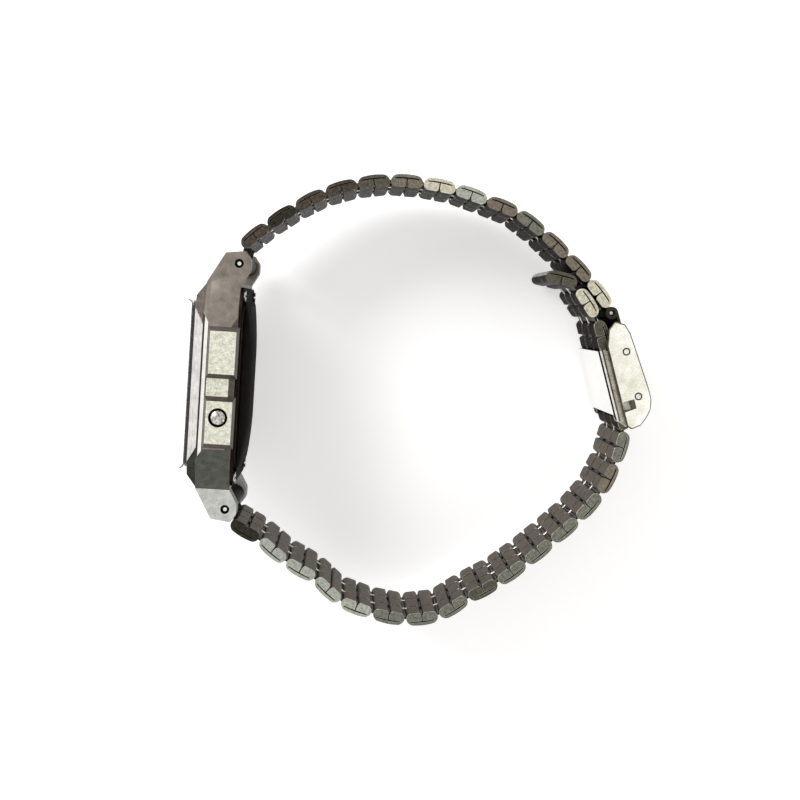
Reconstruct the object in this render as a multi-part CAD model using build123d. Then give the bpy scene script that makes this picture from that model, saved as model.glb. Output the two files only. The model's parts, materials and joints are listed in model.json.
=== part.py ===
from build123d import *
import math
import os

os.makedirs("parts", exist_ok=True)

# Digital wristwatch on a folded-link steel bracelet, closed, lying on its 9 o'clock side. Millimetres.
# It is modelled upright on its own axes first: X from the dial to the back, Y towards 12 o'clock,
# Z towards 3 o'clock with zero on the middle plane. The last step lays it on its side guards and clasp edge.

# Case, across and along
CASE_WIDTH = 33.2
GUARD_HEIGHT = 0.9
LUG_TO_LUG = 36.8
BODY_LENGTH = 28.0
STRAIGHT_SIDE = 16.6
LUG_WIDTH = 3.0

# Case, front to back
CRYSTAL_PROUD = 0.55
BEZEL_THICKNESS = 1.2
BODY_THICKNESS = 4.65
BACK_FLANGE = 0.35
BACK_DOME = 1.3

# Slopes and edges of the case body
BODY_FRONT_SLOPE = 1.05
BODY_BACK_SLOPE = 0.75
LUG_TIP_FRONT = 2.3
LUG_TIP_BACK = 4.95
LUG_TIP_DROP = 0.35
LUG_NOSE_PROUD = 1.1
LUG_NOSE_ROUND = 0.8

# Bezel
BEZEL_INSET = 0.15
BEZEL_SIDE_SLOPE = 1.0
BEZEL_END_SLOPE = 1.75
BEZEL_END_RIM = 0.7
BEZEL_SIDE_RIM = 1.3
WINDOW_CORNER = 2.5

# Crystal, its film and the face plate
CRYSTAL_FIT = 0.05
CRYSTAL_THICKNESS = 1.2
FILM_THICKNESS = 0.12
FILM_CURL = 0.55
FACE_THICKNESS = 0.2
FACE_MARGIN = 0.2
LCD_VIEW_END = 6.6
LCD_VIEW_SIDE = 3.0
LCD_VIEW_DROP = 1.2

# Module inside
CAVITY_END_WALL = 2.7
CAVITY_SIDE_WALL = 3.2
CAVITY_WALL_FRONT = 0.9
END_LEDGE = 1.0
SIDE_LEDGE = 0.8
MODULE_FIT = 1.25
FRAME_THICKNESS = 3.1
LCD_OVERLAP_END = 1.4
LCD_OVERLAP_SIDE = 1.1
LCD_THICKNESS = 1.2
LCD_FIT = 0.1
STRIP_WIDTH = 1.1
BOARD_THICKNESS = 0.6
BOARD_MARGIN = 0.6
CHIP_DIAMETER = 5.0
CHIP_HEIGHT = 0.18
QUARTZ_DIAMETER = 0.8
QUARTZ_LENGTH = 5.0
LAMP_DIAMETER = 0.9
LAMP_LENGTH = 2.4
BATTERY_DIAMETER = 16.0
BATTERY_THICKNESS = 1.2
BATTERY_CLIP_THICKNESS = 0.12
BATTERY_CLIP_WIDTH = 4.0
PIEZO_DIAMETER = 12.0
PIEZO_THICKNESS = 0.2

# Case back, gasket and screws
BACK_END_EDGE = 0.5
BACK_SIDE_EDGE = 1.25
BACK_CORNER = 3.0
DOME_END_EDGE = 1.8
DOME_SIDE_EDGE = 1.4
DOME_RADIUS = 60.0
DOME_LAND = 0.15
GASKET_WIDTH = 0.5
GASKET_DEPTH = 0.3
SCREW_LENGTH = 2.2
SCREW_RADIUS = 0.45
SCREW_HEAD_RADIUS = 0.75
SCREW_HEAD_HEIGHT = 0.3
SCREW_EDGE = 1.15
SCREW_SLOT = 0.2
SCREW_FIT = 0.03

# Pusher guards and pushers
GUARD_LENGTH = 5.7
GUARD_GAP = 3.6
GUARD_SLOPE = 0.6
GUARD_FRONT = 1.2
GUARD_DEPTH = 3.5
PUSHER_OFFSET = 3.97
PUSHER_DEPTH = 2.85
PUSHER_RADIUS = 1.1
PUSHER_FIT = 0.16
PUSHER_HEAD = 1.5
PUSHER_PROUD = 0.12
PUSHER_TRAVEL = 0.6
PUSHER_STEM_RADIUS = 0.55
PUSHER_STEM_FIT = 0.05
PUSHER_CLIP_RADIUS = 0.95
PUSHER_CLIP_THICKNESS = 0.2
PUSHER_STEM_END = 0.25
SPRING_LENGTH = 1.4
SPRING_WIRE = 0.11
SPRING_RADIUS = 0.85
SPRING_TURNS = 3
SEAL_RADIUS = 0.95
SEAL_THICKNESS = 0.45

# Spring bars
BAR_DEPTH = 4.18
BAR_SET = 1.72
BAR_RADIUS = 0.75
BAR_TIP_RADIUS = 0.5
BAR_TIP_SHORT = 0.35
BAR_CLEAR = 0.1
LUG_HOLE_RADIUS = 0.6

# Bracelet: folded strips in three columns, joined by clips
BAND_WIDTH = 17.6
BAND_SIDE_GAP = 0.2
SIDE_STRIP_WIDTH = 5.4
COLUMN_GAP = 0.5
EYE_SPAN = 2.7
LINK_END_RADIUS = 0.86
LINK_CROWN = 0.95
EYE_RADIUS = 0.38
ROD_RADIUS = 0.33
SLIT_WIDTH = 0.12
SLIT_HEIGHT = 0.3
NOTCH_WIDTH = 0.2
NOTCH_ROUND = 0.5
ROD_SHORT = 0.5
CLIP_PLATE = 0.36
CLIP_PLATE_RADIUS = 0.58
UPPER_CLIP = 1.84
LOWER_CLIP = 2.01
CLAMPED_CLIP = 2.87
TAIL_CLIP = 2.4

# End pieces that hold the bracelet on the spring bars
UPPER_END_LENGTH = 3.15
LOWER_END_LENGTH = 3.0
END_TUBE_RADIUS = 1.25
END_TUBE_BORE = 0.82

# Rest shape: the heading of every piece of each half, in degrees, as the bracelet lies
UPPER_HEADINGS = (78, 42, 36, 30, 19, 10, -1, -7, -16, -18, -34, -40, -43, -49, -67)
LOWER_HEADINGS = (-60, -27, -37, -26, -40, -17, -8, 10, 36, 31, 39, 43, 44, 52, 67, 77, 108)
TAIL_HEADINGS = (127, 170)
TAIL_CLIP_HEADINGS = (119, 134)

# Clasp, on its own axes: U outward from the wrist, V along the clasp towards 12 o'clock, zero on the cover pin
CLASP_HEADING = 108
CLASP_REACH_SHARE = 0.8197
CLASP_RISE_SHARE = 0.0311
COVER_LENGTH = 15.0
COVER_BOTTOM = 4.2
COVER_OUTER = 1.67
COVER_INNER = 2.5
COVER_SHEET = 0.45
COVER_WALL = 0.5
COVER_GAP = 0.8
CLASP_LINK_LENGTH = 5.6
CLASP_LINK_EYE = 0.55
CLASP_LINK_PLATE = 0.4
CLASP_PIN_RADIUS = 0.44
PIN_FIT = 0.04
BAND_PIN_V = 6.37
BAND_PIN_U = 0.13
SNAP_HOLE_LENGTH = 1.3
SNAP_HOLE_WIDTH = 1.6
SNAP_HOLE_V = 0.89
SNAP_HOLE_U = 1.45
SNAP_NIB_WIDTH = 0.5
SNAP_NIB_HEIGHT = 0.08
CLAMPED_U = 2.6
CLAMPED_V = 3.3
SLIDER_SHEET = 0.25
SLIDER_FIT = 0.07
SLIDER_SIDE_GAP = 0.1
SLIDER_SIDE = 0.28
SLIDER_TOP_V = 7.1
SLIDER_FOOT = 0.45
BLADE_PIN_V = 7.9
BLADE_PIN_U = 1.03
BLADE_PIN_RADIUS = 0.22
BLADE_EYE_RADIUS = 0.42
BLADE_SHEET = 0.28
BLADE_GAP = 0.1
BLADE_MARGIN = 0.35
COVER_EYE_RADIUS = 0.75
FLAP_SHEET = 0.32
FLAP_SIDE = 0.25
FLAP_SIDE_HEIGHT = 1.1
FLAP_GAP = 0.05
FLAP_BOTTOM_V = 2.3
FLAP_BOSS = 0.5
FLAP_PIN_RADIUS = 0.3
FLAP_PIN_U = 3.35
FLAP_TOOTH = 0.3

# How deep a cut overruns the faces it opens
OVERRUN = 1.0


# Places worked out from the sizes above
X_BEZEL = CRYSTAL_PROUD
X_BODY = X_BEZEL + BEZEL_THICKNESS
X_BODY_BACK = X_BODY + BODY_THICKNESS
X_FLANGE = X_BODY_BACK + BACK_FLANGE
X_BACK = X_FLANGE + BACK_DOME
X_LUG_BACK = X_BODY_BACK + LUG_NOSE_PROUD
HALF_BODY_WIDTH = CASE_WIDTH / 2 - GUARD_HEIGHT
LUG_GAP = BAND_WIDTH + 2 * BAND_SIDE_GAP
HALF_LUG_WIDTH = LUG_GAP / 2 + LUG_WIDTH
LUG_END = LUG_TO_LUG / 2
BODY_END = BODY_LENGTH / 2
BAR_X = X_BODY + BAR_DEPTH
BAR_Y = LUG_END - BAR_SET
BEZEL_BACK_LENGTH = BODY_END - BEZEL_INSET
BEZEL_BACK_WIDTH = HALF_BODY_WIDTH - BODY_FRONT_SLOPE - BEZEL_INSET
WINDOW_LENGTH = 2 * (BEZEL_BACK_LENGTH - BEZEL_END_SLOPE - BEZEL_END_RIM)
WINDOW_WIDTH = 2 * (BEZEL_BACK_WIDTH - BEZEL_SIDE_SLOPE - BEZEL_SIDE_RIM)
CAVITY_LENGTH = BODY_LENGTH - 2 * CAVITY_END_WALL
CAVITY_WIDTH = 2 * (HALF_BODY_WIDTH - CAVITY_SIDE_WALL)
FRONT_OPENING_LENGTH = WINDOW_LENGTH - 2 * END_LEDGE
FRONT_OPENING_WIDTH = WINDOW_WIDTH - 2 * SIDE_LEDGE
LCD_VIEW_LENGTH = WINDOW_LENGTH - 2 * LCD_VIEW_END
LCD_VIEW_WIDTH = WINDOW_WIDTH - 2 * LCD_VIEW_SIDE
LCD_LENGTH = LCD_VIEW_LENGTH + 2 * LCD_OVERLAP_END
LCD_WIDTH = LCD_VIEW_WIDTH + 2 * LCD_OVERLAP_SIDE
BACK_LENGTH = BODY_LENGTH - 2 * BACK_END_EDGE
BACK_WIDTH = 2 * (HALF_BODY_WIDTH - BODY_BACK_SLOPE - BACK_SIDE_EDGE)
DOME_LENGTH = BACK_LENGTH - 2 * DOME_END_EDGE
DOME_WIDTH = BACK_WIDTH - 2 * DOME_SIDE_EDGE
CENTRE_STRIP_WIDTH = BAND_WIDTH - 2 * SIDE_STRIP_WIDTH - 2 * COLUMN_GAP
X_FACE = CRYSTAL_THICKNESS
X_LCD = X_FACE + FACE_THICKNESS + LCD_FIT
X_BOARD = X_LCD + FRAME_THICKNESS - BOARD_THICKNESS
X_BATTERY = X_BOARD + BOARD_THICKNESS + BATTERY_CLIP_THICKNESS
X_PIEZO = X_BODY_BACK - PIEZO_THICKNESS
PUSHER_X = X_BODY + PUSHER_DEPTH


def ahead(point, length, heading):
    """The point that lies at this length and heading, in degrees, from another."""
    turn = math.radians(heading)
    return (point[0] + length * math.cos(turn), point[1] + length * math.sin(turn))


def chain(start, headings, clip, first_length):
    """Pivots of a bracelet half: the start, then both eyes of each link, then the last piece's pivot."""
    pivots = [start, ahead(start, first_length, headings[0])]
    for here, after in zip(headings[1:-1], headings[2:]):
        eye = ahead(pivots[-1], EYE_SPAN, here)
        pivots += [eye, ahead(eye, clip, (here + after) / 2)]
    return pivots


def closed_headings(start, headings, clip, first_length, last_length, target):
    """Turn the headings by a little, evenly and more towards the ends, until the chain meets its target."""
    count = len(headings)
    places = [2 * i / (count - 1) - 1 for i in range(count)]

    def turned(even, spread):
        return [h + even + spread * p for h, p in zip(headings, places)]

    def end(even, spread):
        now = turned(even, spread)
        return ahead(chain(start, now, clip, first_length)[-1], last_length, now[-1])

    even = spread = 0.0
    nudge = 0.01
    for _ in range(40):
        at = end(even, spread)
        by_even = end(even + nudge, spread)
        by_spread = end(even, spread + nudge)
        a, c = (by_even[0] - at[0]) / nudge, (by_even[1] - at[1]) / nudge
        b, d = (by_spread[0] - at[0]) / nudge, (by_spread[1] - at[1]) / nudge
        dx, dy = target[0] - at[0], target[1] - at[1]
        even += (dx * d - b * dy) / (a * d - b * c)
        spread += (a * dy - dx * c) / (a * d - b * c)
    return turned(even, spread)


def box(x_low, x_high, y_low, y_high, z_low, z_high):
    """A box between two corners."""
    centre = ((x_low + x_high) / 2, (y_low + y_high) / 2, (z_low + z_high) / 2)
    return Pos(*centre) * Box(abs(x_high - x_low), abs(y_high - y_low), abs(z_high - z_low))


def plate(x_low, x_high, length, width, corner=0):
    """A flat plate square to X, centred on the axis, with rounded corners if asked."""
    face = RectangleRounded(length, width, corner) if corner else Rectangle(length, width)
    return extrude(Plane.YZ.offset(x_low) * face, x_high - x_low)


def rod(x, y, radius, z_low, z_high):
    """A round rod along Z."""
    return Pos(x, y, (z_low + z_high) / 2) * Cylinder(radius, z_high - z_low)


def x_rod(x_low, x_high, y, z, radius):
    """A round rod along X."""
    return Pos((x_low + x_high) / 2, y, z) * Rot(0, 90, 0) * Cylinder(radius, x_high - x_low)


def prism(points, z_low, z_high, rounds=()):
    """A flat outline raised along Z; rounds pairs a point's number with the radius of its corner."""
    face = make_face(Polyline(*points, close=True))
    for number, radius in rounds:
        spot = Vector(*points[number])
        corner = min(face.vertices(), key=lambda v: (Vector(*v) - spot).length)
        face = fillet(corner, radius)
    return extrude(Pos(0, 0, z_low) * face, z_high - z_low)


def stadium(a, b, radius, z_low, z_high):
    """A bar with round ends about two points, raised along Z."""
    length = math.dist(a, b)
    turn = math.degrees(math.atan2(b[1] - a[1], b[0] - a[0]))
    middle = ((a[0] + b[0]) / 2, (a[1] + b[1]) / 2)
    face = Pos(*middle, z_low) * Rot(0, 0, turn) * SlotCenterToCenter(length, 2 * radius)
    return extrude(face, z_high - z_low)


# Case shell
def octagon(half_length, half_width, half_straight, half_end):
    """The case seen from the front: a rectangle whose corners are cut, as Y, Z points."""
    corner = ((half_straight, half_width), (half_length, half_end))
    ring = [(y, z) for y, z in corner] + [(y, -z) for y, z in reversed(corner)]
    return ring + [(-y, -z) for y, z in corner] + [(-y, z) for y, z in reversed(corner)]


def body_outline():
    """The body's octagon with two lugs at each end, as one face in the YZ plane."""
    face = make_face(Polyline(*octagon(BODY_END, HALF_BODY_WIDTH, STRAIGHT_SIDE / 2, HALF_LUG_WIDTH), close=True))
    lug = Rectangle(LUG_TO_LUG, LUG_WIDTH)
    for side in (1, -1):
        face += Pos(0, side * (LUG_GAP + LUG_WIDTH) / 2) * lug
    return Plane.YZ * face


def side_profile():
    """The case seen from 3 o'clock: slopes to the lug tips in front and rounded lug noses behind."""
    half = [
        (X_BODY, BODY_END),
        (X_BODY + LUG_TIP_FRONT, LUG_END - LUG_TIP_DROP),
        (X_BODY + LUG_TIP_BACK, LUG_END),
        (X_LUG_BACK, LUG_END - LUG_NOSE_PROUD),
        (X_LUG_BACK, BAR_Y - LUG_NOSE_ROUND),
        (X_BODY_BACK, BODY_END),
    ]
    points = half + [(x, -y) for x, y in reversed(half)]
    last = len(points) - 1
    rounds = [(n, LUG_NOSE_ROUND) for n in (3, 4, last - 3, last - 4)]
    return prism(points, -CASE_WIDTH, CASE_WIDTH, rounds)


def end_profile():
    """The case seen from 12 o'clock: sloped front edges and sloped back edges along both sides."""
    front = HALF_BODY_WIDTH - BODY_FRONT_SLOPE
    back = HALF_BODY_WIDTH - BODY_BACK_SLOPE
    half = [
        (X_BODY, front),
        (X_BODY + BODY_FRONT_SLOPE, HALF_BODY_WIDTH),
        (X_BODY_BACK - BODY_BACK_SLOPE, HALF_BODY_WIDTH),
        (X_BODY_BACK, back),
        (X_LUG_BACK, back),
    ]
    points = half + [(x, -z) for x, z in reversed(half)]
    face = Plane.XZ * make_face(Polyline(*points, close=True))
    return extrude(face, LUG_TO_LUG, both=True)


def guard(side, y_middle):
    """One raised pusher guard with sloped walls, on the side face."""
    base = Rectangle(GUARD_DEPTH + GUARD_SLOPE, GUARD_LENGTH + 2 * GUARD_SLOPE)
    top = Rectangle(GUARD_DEPTH, GUARD_LENGTH)
    x_middle = X_BODY + GUARD_FRONT + GUARD_DEPTH / 2
    low = Pos(x_middle, y_middle, side * (HALF_BODY_WIDTH - GUARD_SLOPE / 2))
    foot = Pos(x_middle, y_middle, side * HALF_BODY_WIDTH)
    high = Pos(x_middle, y_middle, side * CASE_WIDTH / 2)
    return loft([foot * base, high * top]) + extrude(low * base, side * GUARD_SLOPE / 2)


def pusher_places():
    """Name, side and Y of each pusher."""
    return (("light", -1, PUSHER_OFFSET), ("mode", -1, -PUSHER_OFFSET), ("alarm", 1, -PUSHER_OFFSET))


SPRING_SEAT = CASE_WIDTH / 2 - PUSHER_HEAD - SPRING_LENGTH
CAVITY_SIDE = CAVITY_WIDTH / 2


def screw_places():
    """Y and Z of the back's four screws."""
    y = BACK_LENGTH / 2 - SCREW_EDGE
    z = BACK_WIDTH / 2 - SCREW_EDGE - BACK_CORNER / 2
    return [(sy * y, sz * z) for sy in (1, -1) for sz in (1, -1)]


def case_shell():
    outline = extrude(body_outline(), X_LUG_BACK)
    shell = outline & side_profile() & end_profile()
    shell -= box(X_BODY_BACK, X_LUG_BACK + OVERRUN, -BODY_END, BODY_END, -CASE_WIDTH, CASE_WIDTH)
    middle = (GUARD_GAP + GUARD_LENGTH) / 2
    for side in (1, -1):
        for end in (1, -1):
            shell += guard(side, end * middle)
    shell -= plate(X_BODY + CAVITY_WALL_FRONT, X_BODY_BACK + OVERRUN, CAVITY_LENGTH, CAVITY_WIDTH, WINDOW_CORNER)
    shell -= plate(X_BODY - OVERRUN, X_BODY_BACK, FRONT_OPENING_LENGTH, FRONT_OPENING_WIDTH, WINDOW_CORNER)
    groove = plate(X_BODY_BACK - GASKET_DEPTH, X_BODY_BACK + OVERRUN,
                   CAVITY_LENGTH + 2 * GASKET_WIDTH, CAVITY_WIDTH + 2 * GASKET_WIDTH, WINDOW_CORNER + GASKET_WIDTH)
    shell -= groove
    for _, side, y in pusher_places():
        outside = side * (CASE_WIDTH / 2 + OVERRUN)
        seat, wall = side * SPRING_SEAT, side * CAVITY_SIDE
        shell -= rod(PUSHER_X, y, PUSHER_RADIUS + PUSHER_FIT, *sorted((seat, outside)))
        shell -= rod(PUSHER_X, y, PUSHER_STEM_RADIUS + PUSHER_STEM_FIT, *sorted((side * OVERRUN, seat)))
        seal = side * (CAVITY_SIDE + SEAL_THICKNESS)
        shell -= rod(PUSHER_X, y, SEAL_RADIUS, *sorted((wall, seal)))
    for end in (1, -1):
        shell -= rod(BAR_X, end * BAR_Y, LUG_HOLE_RADIUS, -CASE_WIDTH, CASE_WIDTH)
    for y, z in screw_places():
        shell -= x_rod(X_FLANGE - SCREW_LENGTH - OVERRUN, X_BODY_BACK + OVERRUN, y, z, SCREW_RADIUS + SCREW_FIT)
    return [shell]


# Bezel, crystal, film and face plate
def bezel():
    outline = Polyline(*octagon(BEZEL_BACK_LENGTH, BEZEL_BACK_WIDTH, STRAIGHT_SIDE / 2, HALF_LUG_WIDTH - BEZEL_INSET),
                       close=True)
    block = extrude(Plane.YZ.offset(X_BEZEL) * make_face(outline), BEZEL_THICKNESS)
    side = [(X_BEZEL, BEZEL_BACK_LENGTH - BEZEL_END_SLOPE), (X_BODY, BEZEL_BACK_LENGTH)]
    side += [(x, -y) for x, y in reversed(side)]
    block &= prism(side, -CASE_WIDTH, CASE_WIDTH)
    end = [(X_BEZEL, BEZEL_BACK_WIDTH - BEZEL_SIDE_SLOPE), (X_BODY, BEZEL_BACK_WIDTH)]
    end += [(x, -z) for x, z in reversed(end)]
    block &= extrude(Plane.XZ * make_face(Polyline(*end, close=True)), LUG_TO_LUG, both=True)
    return [block - plate(X_BEZEL - OVERRUN, X_BODY + OVERRUN, WINDOW_LENGTH, WINDOW_WIDTH, WINDOW_CORNER)]


def crystal():
    length = WINDOW_LENGTH - 2 * CRYSTAL_FIT
    width = WINDOW_WIDTH - 2 * CRYSTAL_FIT
    return [plate(0, CRYSTAL_THICKNESS, length, width, WINDOW_CORNER - CRYSTAL_FIT)]


def protective_film():
    """A thin clear film on the crystal, curled forward at both ends."""
    half = WINDOW_LENGTH / 2 - FILM_CURL
    sheet = plate(-FILM_THICKNESS, 0, 2 * half, WINDOW_WIDTH - 2 * FILM_CURL)
    pieces = [sheet]
    for end in (1, -1):
        centre = Pos(-FILM_CURL - FILM_THICKNESS / 2, end * half)
        ring = Circle(FILM_CURL + FILM_THICKNESS / 2) - Circle(FILM_CURL - FILM_THICKNESS / 2)
        quarter = Pos(FILM_CURL / 2 + FILM_THICKNESS, end * FILM_CURL) * Rectangle(FILM_CURL + 2 * FILM_THICKNESS,
                                                                               2 * FILM_CURL)
        arc = Pos(0, 0, -WINDOW_WIDTH / 2 + FILM_CURL) * (centre * (ring & quarter))
        pieces.append(extrude(arc, WINDOW_WIDTH - 2 * FILM_CURL))
    return [pieces[0] + pieces[1] + pieces[2]]


def face_plate():
    face = plate(X_FACE, X_FACE + FACE_THICKNESS, WINDOW_LENGTH - 2 * FACE_MARGIN, WINDOW_WIDTH - 2 * FACE_MARGIN,
                 WINDOW_CORNER - FACE_MARGIN)
    hole = box(X_FACE - OVERRUN, X_BODY, -LCD_VIEW_LENGTH / 2 - LCD_VIEW_DROP, LCD_VIEW_LENGTH / 2 - LCD_VIEW_DROP,
               -LCD_VIEW_WIDTH / 2, LCD_VIEW_WIDTH / 2)
    return [face - hole]


# Module
def lcd_place(margin, x_low, x_high):
    """The LCD's block, grown by a margin, behind the face plate's window."""
    half = LCD_LENGTH / 2 + margin
    wide = LCD_WIDTH / 2 + margin
    return box(x_low, x_high, -half - LCD_VIEW_DROP, half - LCD_VIEW_DROP, -wide, wide)


def lcd_panel():
    return [lcd_place(0, X_LCD, X_LCD + LCD_THICKNESS)]


def module_frame():
    length = FRONT_OPENING_LENGTH - MODULE_FIT / 2
    width = FRONT_OPENING_WIDTH - MODULE_FIT / 2
    frame = plate(X_LCD, X_BOARD, length, width, WINDOW_CORNER)
    return [frame - lcd_place(LCD_FIT, X_LCD - OVERRUN, X_BOARD + OVERRUN)]


def zebra_strips():
    """Two conductive rubber strips between the LCD's edges and the board."""
    strips = []
    for end in (1, -1):
        edge = end * LCD_LENGTH / 2 - LCD_VIEW_DROP
        inner = edge - end * STRIP_WIDTH
        low, high = sorted((edge, inner))
        strips.append(box(X_LCD + LCD_THICKNESS, X_BOARD, low, high, -LCD_WIDTH / 2, LCD_WIDTH / 2))
    return strips


def circuit_board():
    """The board with its chip, and the quartz can and lamp in front of it, behind the LCD."""
    board = plate(X_BOARD, X_BOARD + BOARD_THICKNESS, CAVITY_LENGTH - 2 * BOARD_MARGIN, CAVITY_WIDTH - 2 * MODULE_FIT,
                  WINDOW_CORNER)
    chip = x_rod(X_BOARD - CHIP_HEIGHT, X_BOARD, -LCD_VIEW_DROP, 0, CHIP_DIAMETER / 2)
    quartz = rod(X_BOARD - QUARTZ_DIAMETER / 2, -LCD_VIEW_DROP - CHIP_DIAMETER / 2 - QUARTZ_DIAMETER,
                 QUARTZ_DIAMETER / 2, -QUARTZ_LENGTH / 2, QUARTZ_LENGTH / 2)
    lamp = rod(X_BOARD - LAMP_DIAMETER / 2, -LCD_VIEW_DROP + CHIP_DIAMETER / 2 + LAMP_DIAMETER, LAMP_DIAMETER / 2,
               -LAMP_LENGTH / 2, LAMP_LENGTH / 2)
    return [board, chip, quartz, lamp]


def battery_cell():
    return [x_rod(X_BATTERY, X_BATTERY + BATTERY_THICKNESS, 0, 0, BATTERY_DIAMETER / 2)]


def battery_clip():
    """Two contact plates, one under the cell and one over it, joined by a leg at the side."""
    half = BATTERY_DIAMETER / 2
    under = box(X_BATTERY - BATTERY_CLIP_THICKNESS, X_BATTERY, -half, half + BATTERY_CLIP_THICKNESS,
                -BATTERY_CLIP_WIDTH / 2, BATTERY_CLIP_WIDTH / 2)
    top = X_BATTERY + BATTERY_THICKNESS
    over = Pos(top - X_BATTERY + BATTERY_CLIP_THICKNESS) * under
    leg = box(X_BATTERY - BATTERY_CLIP_THICKNESS, top + BATTERY_CLIP_THICKNESS, half, half + BATTERY_CLIP_THICKNESS,
              -BATTERY_CLIP_WIDTH / 2, BATTERY_CLIP_WIDTH / 2)
    return [under + over + leg]


def piezo_disc():
    return [x_rod(X_PIEZO, X_BODY_BACK, 0, 0, PIEZO_DIAMETER / 2)]


# Case back
def case_back():
    """A flat flange with rounded corners and a raised centre, curved both ways around a small flat land."""
    flange = plate(X_BODY_BACK, X_FLANGE, BACK_LENGTH, BACK_WIDTH, BACK_CORNER)
    dome = plate(X_FLANGE, X_BACK, DOME_LENGTH, DOME_WIDTH, BACK_CORNER)
    centre = X_BACK + DOME_LAND - DOME_RADIUS
    dome &= rod(centre, 0, DOME_RADIUS, -CASE_WIDTH, CASE_WIDTH)
    dome &= Pos(centre, 0, 0) * Rot(90, 0, 0) * Cylinder(DOME_RADIUS, LUG_TO_LUG)
    back = flange + dome
    for y, z in screw_places():
        back -= x_rod(X_BODY_BACK - OVERRUN, X_FLANGE + OVERRUN, y, z, SCREW_RADIUS + SCREW_FIT)
    return [back]


def back_screws():
    screws = []
    for y, z in screw_places():
        shank = x_rod(X_FLANGE - SCREW_LENGTH, X_FLANGE, y, z, SCREW_RADIUS)
        head = x_rod(X_FLANGE, X_FLANGE + SCREW_HEAD_HEIGHT, y, z, SCREW_HEAD_RADIUS)
        slot = box(X_FLANGE + SCREW_HEAD_HEIGHT / 2, X_FLANGE + SCREW_HEAD_HEIGHT + OVERRUN,
                   y - SCREW_SLOT / 2, y + SCREW_SLOT / 2, z - OVERRUN, z + OVERRUN)
        screws.append(shank + head - slot)
    return screws


def case_seals():
    """The back gasket in its groove, and one seal ring in the wall at each pusher."""
    outer = plate(X_BODY_BACK - GASKET_DEPTH, X_BODY_BACK, CAVITY_LENGTH + 2 * GASKET_WIDTH,
                  CAVITY_WIDTH + 2 * GASKET_WIDTH, WINDOW_CORNER + GASKET_WIDTH)
    inner = plate(X_BODY_BACK - GASKET_DEPTH - OVERRUN, X_BODY_BACK + OVERRUN, CAVITY_LENGTH, CAVITY_WIDTH,
                  WINDOW_CORNER)
    seals = [outer - inner]
    for _, side, y in pusher_places():
        span = sorted((side * CAVITY_SIDE, side * (CAVITY_SIDE + SEAL_THICKNESS)))
        ring = rod(PUSHER_X, y, SEAL_RADIUS, *span)
        seals.append(ring - rod(PUSHER_X, y, PUSHER_STEM_RADIUS + PUSHER_STEM_FIT, *span))
    return seals


# Pushers
def pusher(side, y):
    """A domed head on a stem that passes through the case wall, held by a clip inside."""
    under = CASE_WIDTH / 2 - PUSHER_HEAD
    top = CASE_WIDTH / 2 + PUSHER_PROUD
    reach = PUSHER_RADIUS ** 2 / (4 * PUSHER_PROUD) + PUSHER_PROUD
    head = rod(PUSHER_X, y, PUSHER_RADIUS, under, top)
    head &= Pos(PUSHER_X, y, top - reach) * Sphere(reach)
    clip_top = CAVITY_SIDE - PUSHER_STEM_FIT
    stem = rod(PUSHER_X, y, PUSHER_STEM_RADIUS, clip_top - PUSHER_CLIP_THICKNESS - PUSHER_STEM_END, under)
    clip = rod(PUSHER_X, y, PUSHER_CLIP_RADIUS, clip_top - PUSHER_CLIP_THICKNESS, clip_top)
    whole = head + stem + clip
    return [whole if side > 0 else mirror(whole, Plane.XY)]


def pusher_spring(side, y):
    """A coil spring between the pusher's head and its seat in the case wall."""
    rise = SPRING_LENGTH - 4 * SPRING_WIRE
    helix = Helix(rise / SPRING_TURNS, rise, SPRING_RADIUS)
    wire = sweep(Plane(helix @ 0, z_dir=helix % 0) * Circle(SPRING_WIRE), helix, is_frenet=True)
    whole = Pos(PUSHER_X, y, SPRING_SEAT + 2 * SPRING_WIRE) * wire
    return [whole if side > 0 else mirror(whole, Plane.XY)]


def spring_bars():
    """A bar in each pair of lugs, with thinner tips in the lug holes."""
    bars = []
    half = LUG_GAP / 2 - BAR_CLEAR
    tip = HALF_LUG_WIDTH - BAR_TIP_SHORT
    for end in (1, -1):
        body = rod(BAR_X, end * BAR_Y, BAR_RADIUS, -half, half)
        bars.append(body + rod(BAR_X, end * BAR_Y, BAR_TIP_RADIUS, -tip, tip))
    return bars


# Bracelet
def strip_face():
    """A folded strip from the side: first eye at zero, second eye along X, arched plate on the +Y side."""
    round_end, half = LINK_END_RADIUS, EYE_SPAN / 2
    arch = ThreePointArc((0, round_end), (half, LINK_CROWN), (EYE_SPAN, round_end))
    far = ThreePointArc((EYE_SPAN, round_end), (EYE_SPAN + round_end, 0), (EYE_SPAN, -round_end))
    inner = Line((EYE_SPAN, -round_end), (0, -round_end))
    near = ThreePointArc((0, -round_end), (-round_end, 0), (0, round_end))
    face = make_face(Curve() + [arch, far, inner, near])
    face -= Pos(half, -round_end) * Rectangle(NOTCH_WIDTH, 2 * (round_end + SLIT_HEIGHT))
    lobe_corners = [v for v in face.vertices() if abs(v.X - half) < NOTCH_WIDTH and v.Y < -round_end / 2]
    face = fillet(lobe_corners, NOTCH_ROUND)
    face -= Pos(half, SLIT_HEIGHT) * Rectangle(EYE_SPAN, SLIT_WIDTH)
    face -= Circle(EYE_RADIUS)
    face -= Pos(EYE_SPAN, 0) * Circle(EYE_RADIUS)
    return face


def columns():
    """The low and high Z of the three columns of strips."""
    side = BAND_WIDTH / 2
    middle = CENTRE_STRIP_WIDTH / 2
    return ((side - SIDE_STRIP_WIDTH, side), (-middle, middle), (-side, SIDE_STRIP_WIDTH - side))


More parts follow.
